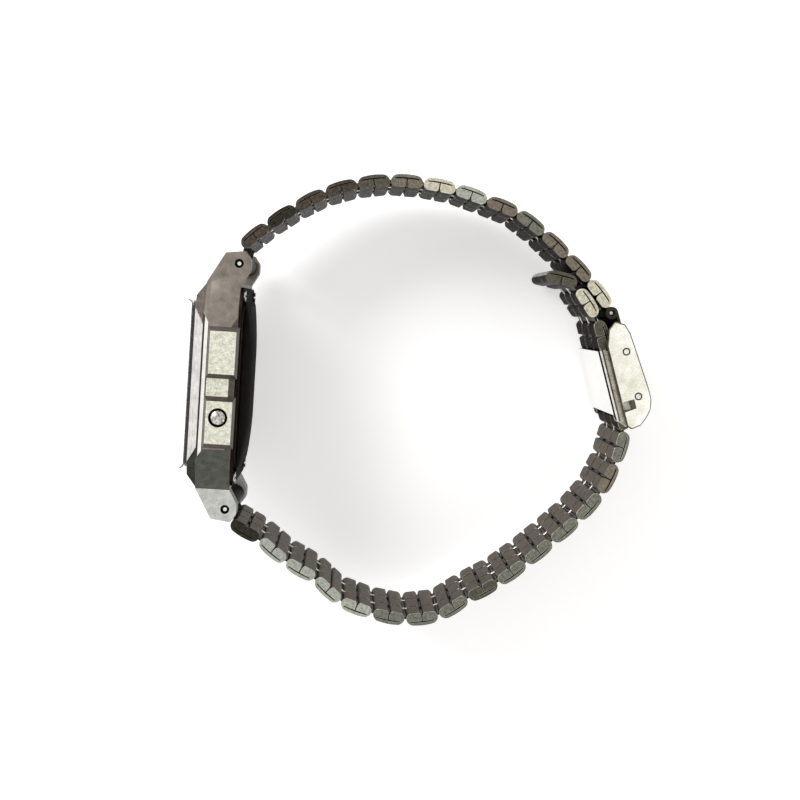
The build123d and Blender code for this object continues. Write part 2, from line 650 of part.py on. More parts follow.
def clip_solid(a, b, rod_a=True):
    """A clip: rods in two eyes, joined by round-ended plates in the two gaps between the columns."""
    tip = BAND_WIDTH / 2 - ROD_SHORT
    solid = rod(*b, ROD_RADIUS, -tip, tip)
    if rod_a:
        solid += rod(*a, ROD_RADIUS, -tip, tip)
    for side in (1, -1):
        middle = side * (CENTRE_STRIP_WIDTH + COLUMN_GAP) / 2
        solid += stadium(a, b, CLIP_PLATE_RADIUS, middle - CLIP_PLATE / 2, middle + CLIP_PLATE / 2)
    return solid


STRIP = strip_face()
STRIPS = [extrude(Pos(0, 0, low) * STRIP, high - low) for low, high in columns()]


def link(first_eye, heading, outward, next_eye=None):
    """One link: three strips along its heading, and the clip that carries the next link's first eye."""
    flip = Rot(0, 0, 0) if outward > 0 else Rot(180, 0, 0)
    place = Pos(*first_eye, 0) * Rot(0, 0, heading) * flip
    solids = [place * strip for strip in STRIPS]
    if next_eye:
        solids.append(clip_solid(ahead(first_eye, EYE_SPAN, heading), next_eye))
    return solids


def end_piece(bar, first_eye):
    """A tube on the spring bar, with plates and a rod that carry the first link."""
    half = BAND_WIDTH / 2
    piece = rod(*bar, END_TUBE_RADIUS, -half, half) + clip_solid(bar, first_eye, rod_a=False)
    return [piece - rod(*bar, END_TUBE_BORE, -CASE_WIDTH, CASE_WIDTH)]


# Where the chains run: the clasp is placed first, then both halves close on it
UPPER_LENGTH = UPPER_END_LENGTH + (len(UPPER_HEADINGS) - 2) * (EYE_SPAN + UPPER_CLIP) + CLASP_LINK_LENGTH
COVER_PIN = (BAR_X + CLASP_REACH_SHARE * UPPER_LENGTH, CLASP_RISE_SHARE * UPPER_LENGTH)
CLASP_PLACE = Pos(*COVER_PIN, 0) * Rot(0, 0, CLASP_HEADING - 90)


def on_clasp(u, v):
    """A point of the clasp's own axes, in the watch's axes."""
    return ahead(ahead(COVER_PIN, u, CLASP_HEADING - 90), v, CLASP_HEADING)


UPPER_BAR = (BAR_X, BAR_Y)
LOWER_BAR = (BAR_X, -BAR_Y)
BAND_PIN = on_clasp(-BAND_PIN_U, BAND_PIN_V)
CLAMPED_START = on_clasp(-CLAMPED_U, -CLAMPED_V)
UPPER = closed_headings(UPPER_BAR, UPPER_HEADINGS, UPPER_CLIP, UPPER_END_LENGTH, CLASP_LINK_LENGTH, BAND_PIN)
LOWER = closed_headings(LOWER_BAR, LOWER_HEADINGS, LOWER_CLIP, LOWER_END_LENGTH, 0, CLAMPED_START)
UPPER_EYES = chain(UPPER_BAR, UPPER, UPPER_CLIP, UPPER_END_LENGTH)
LOWER_EYES = chain(LOWER_BAR, LOWER, LOWER_CLIP, LOWER_END_LENGTH)
CLAMPED_COUNT = 3
TAIL_EYES = [on_clasp(-CLAMPED_U, -CLAMPED_V + number * (EYE_SPAN + CLAMPED_CLIP)) for number in range(CLAMPED_COUNT)]
for clip_heading, heading in zip(TAIL_CLIP_HEADINGS, (CLASP_HEADING,) + TAIL_HEADINGS):
    TAIL_EYES.append(ahead(ahead(TAIL_EYES[-1], EYE_SPAN, heading), TAIL_CLIP, clip_heading))


def upper_clasp_link():
    """The last piece of the upper half: an eye on the last clip, a thin plate, and the tube on the cover's pin."""
    eye = UPPER_EYES[-1]
    half = BAND_WIDTH / 2
    side = LINK_END_RADIUS - CLASP_LINK_PLATE / 2
    along = UPPER[-1]
    away = ahead((0, 0), side, along + 90)
    start = (eye[0] + away[0], eye[1] + away[1])
    share = (CLASP_LINK_EYE - CLASP_LINK_PLATE / 2) / side
    end = (BAND_PIN[0] + away[0] * share, BAND_PIN[1] + away[1] * share)
    piece = stadium(start, end, CLASP_LINK_PLATE / 2, -half, half)
    piece += rod(*eye, LINK_END_RADIUS, -half, half)
    piece += rod(*BAND_PIN, CLASP_LINK_EYE, -half, half)
    for low, high in ((high, low) for (low, _), (_, high) in zip(columns(), columns()[1:])):
        piece -= rod(*eye, LINK_END_RADIUS + SLIDER_SHEET, low, high)
    return [piece - rod(*eye, EYE_RADIUS, -half, half)]


# Clasp pieces, drawn on the clasp's own axes with U along X and V along Y
COVER_HALF = BAND_WIDTH / 2 + COVER_GAP
COVER_TOP = COVER_LENGTH - COVER_BOTTOM
# Outline of the cover's side, clockwise from the band's mouth. The first share is of COVER_OUTER above zero or of
# COVER_INNER below it, the second is of COVER_TOP above zero or of COVER_BOTTOM below it.
COVER_SHARES = ((-0.26, 1.0), (0.37, 0.93), (0.63, 0.8), (1.0, 0.08), (1.0, -0.2), (0.73, -0.52), (0.3, -0.73),
                (-0.25, -0.95), (-0.8, -1.0), (-1.0, -0.86), (-1.0, 0.72), (-0.87, 0.8), (-0.72, 0.91))
COVER_ROUND = 0.3
MOUTH_SHARE = 0.86
MOUTH_RISE = 0.5


def cover_outline():
    return [(u * (COVER_OUTER if u > 0 else COVER_INNER), v * (COVER_TOP if v > 0 else COVER_BOTTOM))
            for u, v in COVER_SHARES]


def clasp_cover():
    """A plate over the band pin, folded down at both sides into walls with pin holes and a snap hole."""
    face = make_face(Polyline(*cover_outline(), close=True))
    hollow = offset(face, -COVER_SHEET, kind=Kind.INTERSECTION)
    face = fillet(face.vertices(), COVER_ROUND)
    cover = extrude(Pos(0, 0, -COVER_HALF - COVER_WALL) * face, 2 * (COVER_HALF + COVER_WALL))
    cover -= extrude(Pos(0, 0, -COVER_HALF) * hollow, 2 * COVER_HALF)
    cover -= box(-COVER_INNER - OVERRUN, -BAND_PIN_U - COVER_SHEET, -COVER_BOTTOM - OVERRUN, COVER_TOP + OVERRUN,
                 -COVER_HALF, COVER_HALF)
    cover -= box(-COVER_INNER, MOUTH_RISE, MOUTH_SHARE * COVER_TOP, COVER_TOP + OVERRUN, -COVER_HALF, COVER_HALF)
    cover -= rod(0, 0, CLASP_PIN_RADIUS + PIN_FIT, -2 * COVER_HALF, 2 * COVER_HALF)
    cover -= rod(-BAND_PIN_U, BAND_PIN_V, CLASP_PIN_RADIUS, -2 * COVER_HALF, 2 * COVER_HALF)
    cover -= box(-SNAP_HOLE_U - SNAP_HOLE_WIDTH / 2, -SNAP_HOLE_U + SNAP_HOLE_WIDTH / 2,
                 -SNAP_HOLE_V - SNAP_HOLE_LENGTH / 2, -SNAP_HOLE_V + SNAP_HOLE_LENGTH / 2,
                 -2 * COVER_HALF, 2 * COVER_HALF)
    solids = [cover]
    for side in (1, -1):
        span = sorted((side * COVER_HALF, side * (COVER_HALF + COVER_WALL)))
        solids.append(rod(-BAND_PIN_U, BAND_PIN_V, CLASP_PIN_RADIUS, *span))
    return [CLASP_PLACE * solid for solid in solids]


LINK_TOP = -CLAMPED_U + LINK_CROWN
LINK_FOOT = -CLAMPED_U - LINK_END_RADIUS
SLIDER_INNER = BAND_WIDTH / 2 + SLIDER_SIDE_GAP
SLIDER_OUTER = SLIDER_INNER + SLIDER_SIDE
SLIDER_BOTTOM_V = -CLAMPED_V - SLIDER_FOOT
FLAP_INNER = SLIDER_OUTER + FLAP_GAP


def clasp_slider():
    """A channel over the clamped links, with ears for the blade's pin and snap nibs on its sides."""
    top = LINK_TOP + SLIDER_FIT
    low_side = LINK_FOOT
    wall_points = ((top + SLIDER_SHEET, SLIDER_TOP_V), (top + SLIDER_SHEET, SLIDER_BOTTOM_V),
                   (-CLAMPED_U, SLIDER_BOTTOM_V), (low_side, -FLAP_BOTTOM_V - FLAP_BOSS), (low_side, SLIDER_TOP_V))
    ear_points = ((top, SLIDER_TOP_V - SLIDER_FOOT), (top, BLADE_PIN_V + BLADE_EYE_RADIUS),
                  (-BLADE_PIN_U + BLADE_EYE_RADIUS, BLADE_PIN_V + BLADE_EYE_RADIUS),
                  (-BLADE_PIN_U + BLADE_EYE_RADIUS, SLIDER_TOP_V - SLIDER_FOOT))
    slider = box(top, top + SLIDER_SHEET, -FLAP_BOTTOM_V, SLIDER_TOP_V, -SLIDER_OUTER, SLIDER_OUTER)
    for side in (1, -1):
        span = sorted((side * SLIDER_INNER, side * SLIDER_OUTER))
        slider += prism(wall_points, *span)
        slider += prism(ear_points, *span)
        slider += rod(-FLAP_PIN_U, -FLAP_BOTTOM_V, FLAP_BOSS, *span)
        nib = sorted((side * SLIDER_OUTER, side * (SLIDER_OUTER + SNAP_NIB_HEIGHT)))
        left = -SNAP_HOLE_U - SNAP_HOLE_WIDTH / 2 + PIN_FIT
        slider += box(left, left + SNAP_NIB_WIDTH, -SNAP_HOLE_V - SNAP_HOLE_LENGTH / 2 + PIN_FIT,
                      -SNAP_HOLE_V + SNAP_HOLE_LENGTH / 2 - PIN_FIT, *nib)
    slider -= rod(-FLAP_PIN_U, -FLAP_BOTTOM_V, FLAP_PIN_RADIUS + PIN_FIT, -SLIDER_OUTER, SLIDER_OUTER)
    slider += rod(-BLADE_PIN_U, BLADE_PIN_V, BLADE_PIN_RADIUS, -SLIDER_OUTER, SLIDER_OUTER)
    return [CLASP_PLACE * slider]


def fold_blade():
    """The folding middle blade, from the slider's pin to the cover's pin, and the cover's pin in its eye."""
    half = SLIDER_INNER - BLADE_MARGIN
    low = LINK_TOP + SLIDER_FIT + SLIDER_SHEET + BLADE_GAP
    bend = BAND_PIN_V / 3
    points = ((low, BLADE_PIN_V), (low, bend), (-COVER_EYE_RADIUS / 2, 0), (COVER_EYE_RADIUS / 2, 0),
              (low + BLADE_SHEET, bend + BLADE_SHEET), (low + BLADE_SHEET, BLADE_PIN_V))
    blade = prism(points, -half, half)
    blade += rod(0, 0, COVER_EYE_RADIUS, -half, half)
    blade += rod(-BLADE_PIN_U, BLADE_PIN_V, BLADE_EYE_RADIUS, -half, half)
    blade -= rod(-BLADE_PIN_U, BLADE_PIN_V, BLADE_PIN_RADIUS + PIN_FIT, -half, half)
    blade -= rod(0, 0, CLASP_PIN_RADIUS + PIN_FIT / 2, -half, half)
    pin = rod(0, 0, CLASP_PIN_RADIUS, -COVER_HALF - COVER_WALL, COVER_HALF + COVER_WALL)
    return [CLASP_PLACE * blade, CLASP_PLACE * pin]


def lock_flap():
    """The flap on the wrist side that locks the slider on the links, hinged at its bottom corners."""
    outer = FLAP_INNER + FLAP_SIDE
    foot = LINK_FOOT - SLIDER_FIT
    top = SLIDER_TOP_V + FLAP_SIDE
    flap = box(foot - FLAP_SHEET, foot, -FLAP_BOTTOM_V + FLAP_BOSS + FLAP_GAP, top, -outer, outer)
    side_points = ((foot - FLAP_SHEET, top), (foot - FLAP_SHEET, -FLAP_BOTTOM_V),
                   (-FLAP_PIN_U, -FLAP_BOTTOM_V - 2 * FLAP_PIN_RADIUS),
                   (-FLAP_PIN_U + 2 * FLAP_PIN_RADIUS, -FLAP_BOTTOM_V),
                   (foot - FLAP_SHEET + FLAP_SIDE_HEIGHT, -FLAP_BOTTOM_V + FLAP_SIDE_HEIGHT),
                   (foot - FLAP_SHEET + FLAP_SIDE_HEIGHT, top))
    for side in (1, -1):
        flap += prism(side_points, *sorted((side * FLAP_INNER, side * outer)))
        flap += rod(-FLAP_PIN_U, -FLAP_BOTTOM_V, FLAP_PIN_RADIUS, *sorted((side * (SLIDER_INNER + PIN_FIT), side * outer)))
    tooth_v = -CLAMPED_V + EYE_SPAN + CLAMPED_CLIP / 2
    flap += box(foot - FLAP_SHEET / 2, foot + FLAP_TOOTH, tooth_v - FLAP_TOOTH / 2, tooth_v + FLAP_TOOTH / 2,
                -SIDE_STRIP_WIDTH / 2, SIDE_STRIP_WIDTH / 2)
    return [CLASP_PLACE * flap]


# All nodes
nodes = {
    "case_shell": case_shell(),
    "bezel": bezel(),
    "crystal": crystal(),
    "protective_film": protective_film(),
    "face_plate": face_plate(),
    "lcd_panel": lcd_panel(),
    "module_frame": module_frame(),
    "zebra_strips": zebra_strips(),
    "circuit_board": circuit_board(),
    "battery_cell": battery_cell(),
    "battery_clip": battery_clip(),
    "piezo_disc": piezo_disc(),
    "case_back": case_back(),
    "back_screws": back_screws(),
    "case_seals": case_seals(),
    "spring_bars": spring_bars(),
    "clasp_cover": clasp_cover(),
    "clasp_slider": clasp_slider(),
    "fold_blade": fold_blade(),
    "lock_flap": lock_flap(),
    "upper_end_piece": end_piece(UPPER_BAR, UPPER_EYES[1]),
    "lower_end_piece": end_piece(LOWER_BAR, LOWER_EYES[1]),
    "upper_clasp_link": upper_clasp_link(),
}
for name, side, y in pusher_places():
    nodes["pusher_" + name] = pusher(side, y)
    nodes["pusher_spring_" + name] = pusher_spring(side, y)
for half_name, headings, eyes, outward in (("upper", UPPER, UPPER_EYES, 1), ("lower", LOWER, LOWER_EYES, -1)):
    for number in range(1, len(headings) - 1):
        first = 2 * number - 1
        nodes[f"{half_name}_link_{number:02d}"] = link(eyes[first], headings[number], outward, eyes[first + 2])
clamped = []
for number in range(CLAMPED_COUNT):
    clamped += link(TAIL_EYES[number], CLASP_HEADING, -1, TAIL_EYES[number + 1])
nodes["clamped_links"] = clamped
nodes["tail_link_1"] = link(TAIL_EYES[CLAMPED_COUNT], TAIL_HEADINGS[0], -1, TAIL_EYES[CLAMPED_COUNT + 1])
nodes["tail_link_2"] = link(TAIL_EYES[CLAMPED_COUNT + 1], TAIL_HEADINGS[1], -1)

# Lay the watch down: it leans until the clasp's edge and the two lower guards touch the table
GUARD_EDGE = (X_BODY + GUARD_FRONT + GUARD_DEPTH, -CASE_WIDTH / 2)
COVER_EDGE = max(on_clasp(u, v)[0] for u, v in cover_outline())
LEAN = math.degrees(math.atan2(CASE_WIDTH / 2 - COVER_HALF - COVER_WALL, COVER_EDGE - GUARD_EDGE[0]))
LAID = Rot(0, LEAN, 0)
laid = {name: [LAID * solid for item in solids for solid in item.solids()] for name, solids in nodes.items()}
boxes = [solid.bounding_box() for solids in laid.values() for solid in solids]
LOW_X, HIGH_X = min(b.min.X for b in boxes), max(b.max.X for b in boxes)
LOW_Y, HIGH_Y = min(b.min.Y for b in boxes), max(b.max.Y for b in boxes)
LOW_Z, HIGH_Z = min(b.min.Z for b in boxes), max(b.max.Z for b in boxes)
TO_ORIGIN = Pos(-(LOW_X + HIGH_X) / 2, -(LOW_Y + HIGH_Y) / 2, -LOW_Z)
PLACE = TO_ORIGIN * LAID
for name, solids in laid.items():
    moved = [TO_ORIGIN * solid for solid in solids]
    export_step(Compound(children=moved), f"parts/{name}.step")
print("nodes", len(nodes), "lean", round(LEAN, 3), "size", HIGH_X - LOW_X, HIGH_Y - LOW_Y, HIGH_Z - LOW_Z)
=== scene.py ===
# %% [markdown]
# # A digital watch, closed and lying on its side
# The watch is a flat resin case with a steel bracelet of folded links and a folding clasp. It lies on its 9
# o'clock side, so the camera above looks at the 3 o'clock side of the case and at the ends of the links.
# The measured parts come in first. They are the fixed frame on which every finished piece below is placed,
# so nothing has to be fitted by eye.

# %% Load the measured parts
import bpy
import json
import math
from mathutils import Euler, Matrix, Vector

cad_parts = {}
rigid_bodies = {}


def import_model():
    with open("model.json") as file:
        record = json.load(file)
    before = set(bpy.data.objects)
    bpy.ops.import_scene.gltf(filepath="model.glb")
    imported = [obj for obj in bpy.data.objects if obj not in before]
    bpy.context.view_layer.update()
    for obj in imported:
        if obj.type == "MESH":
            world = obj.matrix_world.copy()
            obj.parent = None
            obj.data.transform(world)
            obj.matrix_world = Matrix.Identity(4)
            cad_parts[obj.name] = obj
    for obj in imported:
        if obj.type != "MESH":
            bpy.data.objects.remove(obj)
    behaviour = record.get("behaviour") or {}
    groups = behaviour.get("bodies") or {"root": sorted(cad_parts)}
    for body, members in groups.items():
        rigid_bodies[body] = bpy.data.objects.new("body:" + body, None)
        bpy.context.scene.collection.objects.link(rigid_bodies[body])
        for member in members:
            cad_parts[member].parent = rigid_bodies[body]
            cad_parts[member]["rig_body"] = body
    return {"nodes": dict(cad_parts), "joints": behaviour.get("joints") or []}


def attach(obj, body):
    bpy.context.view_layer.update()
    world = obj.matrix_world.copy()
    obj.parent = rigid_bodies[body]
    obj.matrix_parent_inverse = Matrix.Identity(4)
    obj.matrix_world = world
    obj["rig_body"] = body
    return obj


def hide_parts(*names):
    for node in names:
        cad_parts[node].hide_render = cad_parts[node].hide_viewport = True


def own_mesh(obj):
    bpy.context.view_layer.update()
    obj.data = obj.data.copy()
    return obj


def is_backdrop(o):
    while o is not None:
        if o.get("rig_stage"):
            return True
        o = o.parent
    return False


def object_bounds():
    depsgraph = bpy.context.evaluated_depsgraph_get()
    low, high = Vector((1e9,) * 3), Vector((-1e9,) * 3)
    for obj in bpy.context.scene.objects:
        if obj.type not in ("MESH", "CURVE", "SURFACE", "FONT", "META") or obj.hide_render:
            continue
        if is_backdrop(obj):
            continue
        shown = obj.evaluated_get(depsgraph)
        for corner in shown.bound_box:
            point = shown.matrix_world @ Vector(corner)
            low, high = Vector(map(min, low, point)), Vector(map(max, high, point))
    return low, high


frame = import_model()
cad_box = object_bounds()

# %% [markdown]
# ## The watch's own axes
# A watchmaker measures from the dial, not from the table. X runs from the dial to the back, Y runs up to 12
# o'clock and Z runs across to 3 o'clock, all in millimetres. The hinge at each spring bar tells where these
# axes lie, because its line runs straight across the watch. One matrix then lays any piece down on the
# table.

# %% Find the watch's axes from its two spring bars
MM = 0.001
BAR_DEPTH = 5.93
joints = {joint["name"]: joint for joint in frame["joints"]}
ACROSS = Vector(joints["upper_bar_hinge"]["axis"]).normalized()
upper_bar = Vector(joints["upper_bar_hinge"]["pos_m"])
lower_bar = Vector(joints["lower_bar_hinge"]["pos_m"])
ALONG = (upper_bar - lower_bar).normalized()
DEEP = ALONG.cross(ACROSS)
TURNED = Matrix((DEEP, ALONG, ACROSS)).transposed()
DIAL = (upper_bar + lower_bar) / 2 - DEEP * BAR_DEPTH * MM
WATCH = Matrix.Translation(DIAL) @ TURNED.to_4x4() @ Matrix.Scale(MM, 4)
FROM_TABLE = WATCH.inverted()


def pivot(joint):
    """Where a hinge stands, in watch millimetres, seen from its end."""
    return (FROM_TABLE @ Vector(joints[joint]["pos_m"])).to_2d()


print("lean in degrees", round(math.degrees(ACROSS.angle(Vector((0, 0, 1)))), 2))

# %% [markdown]
# ## Camera
# The picture is taken from straight above, some 20 cm over the bracelet. The near guards look larger than
# the far ones, and the inner sides of the links show, so the camera stands close and not far away with a
# long lens.

# %% Set up the camera
CAMERA_PLACE = Vector((21.21, 11.18, 230.63))
CAMERA_TURN = (-3.134, -1.770, 3.684)
LENS_LENGTH = 72.68
SENSOR_WIDTH = 36
NEAREST_SEEN = 0.01
camera_data = bpy.data.cameras.new("camera")
camera_data.lens = LENS_LENGTH
camera_data.sensor_width = SENSOR_WIDTH
camera_data.clip_start = NEAREST_SEEN
camera = bpy.data.objects.new("camera", camera_data)
bpy.context.collection.objects.link(camera)
camera_turn = Euler([math.radians(angle) for angle in CAMERA_TURN], "XYZ").to_matrix()
camera.matrix_world = Matrix.Translation(WATCH @ CAMERA_PLACE) @ (TURNED @ camera_turn).to_4x4()
bpy.context.scene.camera = camera
bpy.context.scene.view_settings.view_transform = "Standard"
print("camera at", [round(value, 4) for value in camera.location])

# %% [markdown]
# ## Floor and light
# A white table keeps attention on the steel. The floor is a pale matt sheet. For camera, mirror and glass
# rays it glows a little, so that it turns white in the picture and in reflections, and it still takes the
# watch's shadow. The light is even and soft, with one lamp from the upper left and a weaker one from the
# right.

# %% A pale floor
WHITE = (1, 1, 1, 1)
FLOOR_WIDTH = 1.2
FLOOR_TONE = (0.9, 0.9, 0.9, 1)
FLOOR_ROUGH = 0.9
FLOOR_GLOW = 0.4


def preset(node, values):
    """Set several inputs of a node."""
    for name, value in values.items():
        node.inputs[name].default_value = value


def worked_out(tree, operation, first, second):
    """The result of a math node, whose second value may be a plain number."""
    node = tree.nodes.new("ShaderNodeMath")
    node.operation = operation
    tree.links.new(first, node.inputs[0])
    if isinstance(second, float):
        node.inputs[1].default_value = second
    else:
        tree.links.new(second, node.inputs[1])
    return node.outputs[0]


def ray_kind(tree):
    """One for rays from the camera, a mirror or glass, and zero for the others."""
    path = tree.nodes.new("ShaderNodeLightPath")
    total = path.outputs["Is Camera Ray"]
    for name in ("Is Glossy Ray", "Is Transmission Ray"):
        total = worked_out(tree, "MAXIMUM", total, path.outputs[name])
    return total


bpy.ops.mesh.primitive_plane_add(size=FLOOR_WIDTH, location=(0, 0, 0))
floor = bpy.context.object
floor.name = "floor"
floor_finish = bpy.data.materials.new("pale_floor")
floor_finish.use_nodes = True
floor_tree = floor_finish.node_tree
matt = floor_tree.nodes["Principled BSDF"]
preset(matt, {"Base Color": FLOOR_TONE, "Roughness": FLOOR_ROUGH, "Emission Color": WHITE})
glow = worked_out(floor_tree, "MULTIPLY", ray_kind(floor_tree), FLOOR_GLOW)
floor_tree.links.new(glow, matt.inputs["Emission Strength"])
floor.data.materials.append(floor_finish)
floor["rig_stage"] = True

# %% Soft studio light
SKY_LEVEL = 0.62
SKY_TONE = (1, 0.99, 0.97, 1)
world = bpy.data.worlds.new("studio")
bpy.context.scene.world = world
world.use_nodes = True
sky = world.node_tree
seen = sky.nodes["Background"]
preset(seen, {"Color": WHITE, "Strength": 1})
lighting = sky.nodes.new("ShaderNodeBackground")
preset(lighting, {"Color": SKY_TONE, "Strength": SKY_LEVEL})
chosen = sky.nodes.new("ShaderNodeMixShader")
sky.links.new(ray_kind(sky), chosen.inputs["Fac"])
sky.links.new(lighting.outputs[0], chosen.inputs[1])
sky.links.new(seen.outputs[0], chosen.inputs[2])
sky.links.new(chosen.outputs[0], sky.nodes["World Output"].inputs["Surface"])


def soft_lamp(name, place, width, watts):
    """A square soft lamp that looks at the watch."""
    data = bpy.data.lights.new(name, "AREA")
    data.size = width
    data.energy = watts
    lamp = bpy.data.objects.new(name, data)
    bpy.context.collection.objects.link(lamp)
    lamp.location = place
    lamp.rotation_euler = (-Vector(place)).to_track_quat("-Z", "Y").to_euler()
    print(name, watts, "W")


soft_lamp("key_lamp", (-0.28, 0.26, 0.42), width=0.22, watts=1.5)
soft_lamp("side_lamp", (0.4, -0.1, 0.3), width=0.3, watts=0.5)

# %% [markdown]
# ## Tools of the bench
# Most pieces are shaped in edit mode, as by hand: a few faces or edges are picked, and one operator is used
# on them. A small helper picks them by their place and the way they face, because a script has no mouse.

# %% Helpers for picking
def only(piece):
    """Make one piece the only selected and active object."""
    bpy.ops.object.select_all(action="DESELECT")
    piece.hide_set(False)
    piece.select_set(True)
    bpy.context.view_layer.objects.active = piece


def begin():
    """Go to edit mode."""
    bpy.ops.object.mode_set(mode="EDIT")


def done():
    """Leave edit mode."""
    bpy.ops.object.mode_set(mode="OBJECT")


def whole(piece):
    """Go to edit mode with all of a piece selected."""
    only(piece)
    begin()
    bpy.ops.mesh.select_all(action="SELECT")


def cleared(piece, kind):
    """Deselect all of a piece, and choose whether faces, edges or points are picked next."""
    only(piece)
    begin()
    bpy.ops.mesh.select_mode(type=kind)
    bpy.ops.mesh.select_all(action="DESELECT")
    done()


def pick(piece, kind, rule):
    """Go to edit mode with only those items selected whose place and direction fit a rule."""
    cleared(piece, kind)
    mesh = piece.data
    if kind == "FACE":
        found = [face for face in mesh.polygons if rule(face.center, face.normal)]
    elif kind == "VERT":
        found = [point for point in mesh.vertices if rule(point.co, point.normal)]
    else:
        found = []
        for edge in mesh.edges:
            a, b = (mesh.vertices[i].co for i in edge.vertices)
            if rule((a + b) / 2, (b - a).normalized()):
                found.append(edge)
    for item in found:
        item.select = True
    begin()
    return len(found)


def pick_sharp(piece, angle, rule):
    """Go to edit mode with only those sharp edges selected whose middle fits the rule."""
    cleared(piece, "EDGE")
    begin()
    bpy.ops.mesh.edges_select_sharp(sharpness=math.radians(angle))
    done()
    points = piece.data.vertices
    picked = []
    for edge in piece.data.edges:
        middle = sum((points[i].co for i in edge.vertices), Vector()) / 2
        if edge.select and rule(middle):
            picked.append(edge.index)
    cleared(piece, "EDGE")
    for index in picked:
        piece.data.edges[index].select = True
    begin()
    return len(picked)


# %% Helpers for shaping
TOUCH = 0.001
NEAR = 0.01
ON_PLANE = 0.00001
SQUARE_ON = 0.9
SMOOTH_ANGLE = 32
LATHE_ANGLE = 40
FOLD_ANGLE = 35


def sized(size):
    """The primitive that was just added, stretched to a size."""
    piece = bpy.context.object
    piece.scale = size
    bpy.ops.object.transform_apply(location=True, rotation=True, scale=True)
    return piece


def flat_piece(length, width, place=(0, 0, 0)):
    """A flat rectangle with its middle at a place."""
    bpy.ops.mesh.primitive_plane_add(size=1, location=place)
    return sized((length, width, 1))


def block(size, place):
    """A block with its middle at a place."""
    bpy.ops.mesh.primitive_cube_add(size=1, location=place)
    return sized(size)


def cut(piece, place, normal):
    """Cut all faces of a piece along a plane, and keep both sides."""
    whole(piece)
    bpy.ops.mesh.bisect(plane_co=place, plane_no=normal, threshold=ON_PLANE)
    done()


def round_ends(radius, steps, gap):
    """Round the corners of the rectangle in hand to half circles, and merge points that nearly meet."""
    bpy.ops.mesh.bevel(offset=radius, segments=steps, affect="VERTICES")
    bpy.ops.mesh.select_all(action="SELECT")
    bpy.ops.mesh.remove_doubles(threshold=gap)


def draw_out(height):
    """Draw the flat piece in hand out to a height, turn its faces outward and leave edit mode."""
    bpy.ops.mesh.extrude_region_move(TRANSFORM_OT_translate={"value": (0, 0, height)})
    bpy.ops.mesh.select_all(action="SELECT")
    bpy.ops.mesh.normals_make_consistent(inside=False)
    done()


def smoothed(piece, angle=SMOOTH_ANGLE):
    """Shade a piece smooth, apart from edges that are sharper than the angle."""
    only(piece)
    bpy.ops.object.shade_smooth_by_angle(angle=math.radians(angle))


def soften(piece, width, angle=30, segments=2):
    """Round every edge that is sharper than the angle, and shade the rest smooth."""
    only(piece)
    bevel = piece.modifiers.new("rounded", "BEVEL")
    bevel.width = width
    bevel.segments = segments
    bevel.limit_method = "ANGLE"
    bevel.angle_limit = math.radians(angle)
    bevel.use_clamp_overlap = False
    bpy.ops.object.modifier_apply(modifier="rounded")
    smoothed(piece)
    shading = piece.modifiers.new("even_shading", "WEIGHTED_NORMAL")
    shading.keep_sharp = True
    bpy.ops.object.modifier_apply(modifier="even_shading")


def joined(pieces, name):
    """Several objects as one."""
    bpy.ops.object.select_all(action="DESELECT")
    for piece in pieces:
        piece.select_set(True)
    bpy.context.view_layer.objects.active = pieces[0]
    bpy.ops.object.join()
    pieces[0].name = name
    return pieces[0]


def twin(piece, name, place=Matrix.Identity(4)):
    """A copy of a piece with its own mesh, moved to a new place."""
    copy = bpy.data.objects.new(name, piece.data.copy())
    bpy.context.collection.objects.link(copy)
    copy.data.transform(place)
    return copy


# %% [markdown]
# ## From a measured part to a dressed piece
# A measured part is right in shape, but it is made of loose triangles with knife-sharp edges. A copy is
# merged into whole faces, its edges are rounded a little, its faces get their finishes, and it is laid down
# on the table in the part's stead.

# %% Helpers for dressing
FLAT_ANGLE = 0.4
GROWTH = 0.02


def paint(piece, base, *patches):
    """Give a piece its finish, and other finishes where a rule on a face's place and normal holds."""
    piece.data.materials.clear()
    for material in [base] + [patch[0] for patch in patches]:
        piece.data.materials.append(material)
    for face in piece.data.polygons:
        face.material_index = 0
        for number, (material, rule) in enumerate(patches, 1):
            if rule(face.center, face.normal):
                face.material_index = number


def settle(piece, node, stands_for=True):
    """Lay a piece down on the table, on a measured part's body, and show it in that part's stead."""
    piece.data.transform(WATCH)
    piece.data.update()
    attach(piece, frame["nodes"][node]["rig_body"])
    if stands_for:
        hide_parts(node)
    print(piece.name, "faces", len(piece.data.polygons))


def merged(node):
    """A copy of a measured part in watch millimetres, with its loose triangles merged into whole faces."""
    piece = bpy.data.objects.new(node + "_dressed", frame["nodes"][node].data.copy())
    bpy.context.collection.objects.link(piece)
    piece.data.transform(FROM_TABLE)
    only(piece)
    bpy.ops.mesh.customdata_custom_splitnormals_clear()
    whole(piece)
    bpy.ops.mesh.remove_doubles(threshold=TOUCH)
    bpy.ops.mesh.dissolve_limited(angle_limit=math.radians(FLAT_ANGLE))
    done()
    return piece


def reach(piece):
    """How far a piece goes from the watch's zero, towards each of six sides."""
    points = [point.co for point in piece.data.vertices]
    return [max(sign * point[axis] for point in points) for sign in (-1, 1) for axis in range(3)]


def dressed(node, edge, angle=30):
    """A merged copy of a measured part, with its edges rounded as far as its size allows."""
    while True:
        piece = merged(node)
        before = reach(piece)
        soften(piece, edge, angle)
        grown = max(new - old for old, new in zip(before, reach(piece)))
        if grown < GROWTH:
            return piece
        print(node, "rounded by", edge, "grows by", round(grown, 3))
        bpy.data.objects.remove(piece)
        edge /= 2


def dress(node, edge, base, *patches):
    """Round a measured part's edges, give it its finishes and lay it down."""
    piece = dressed(node, edge)
    paint(piece, base, *patches)
    settle(piece, node)


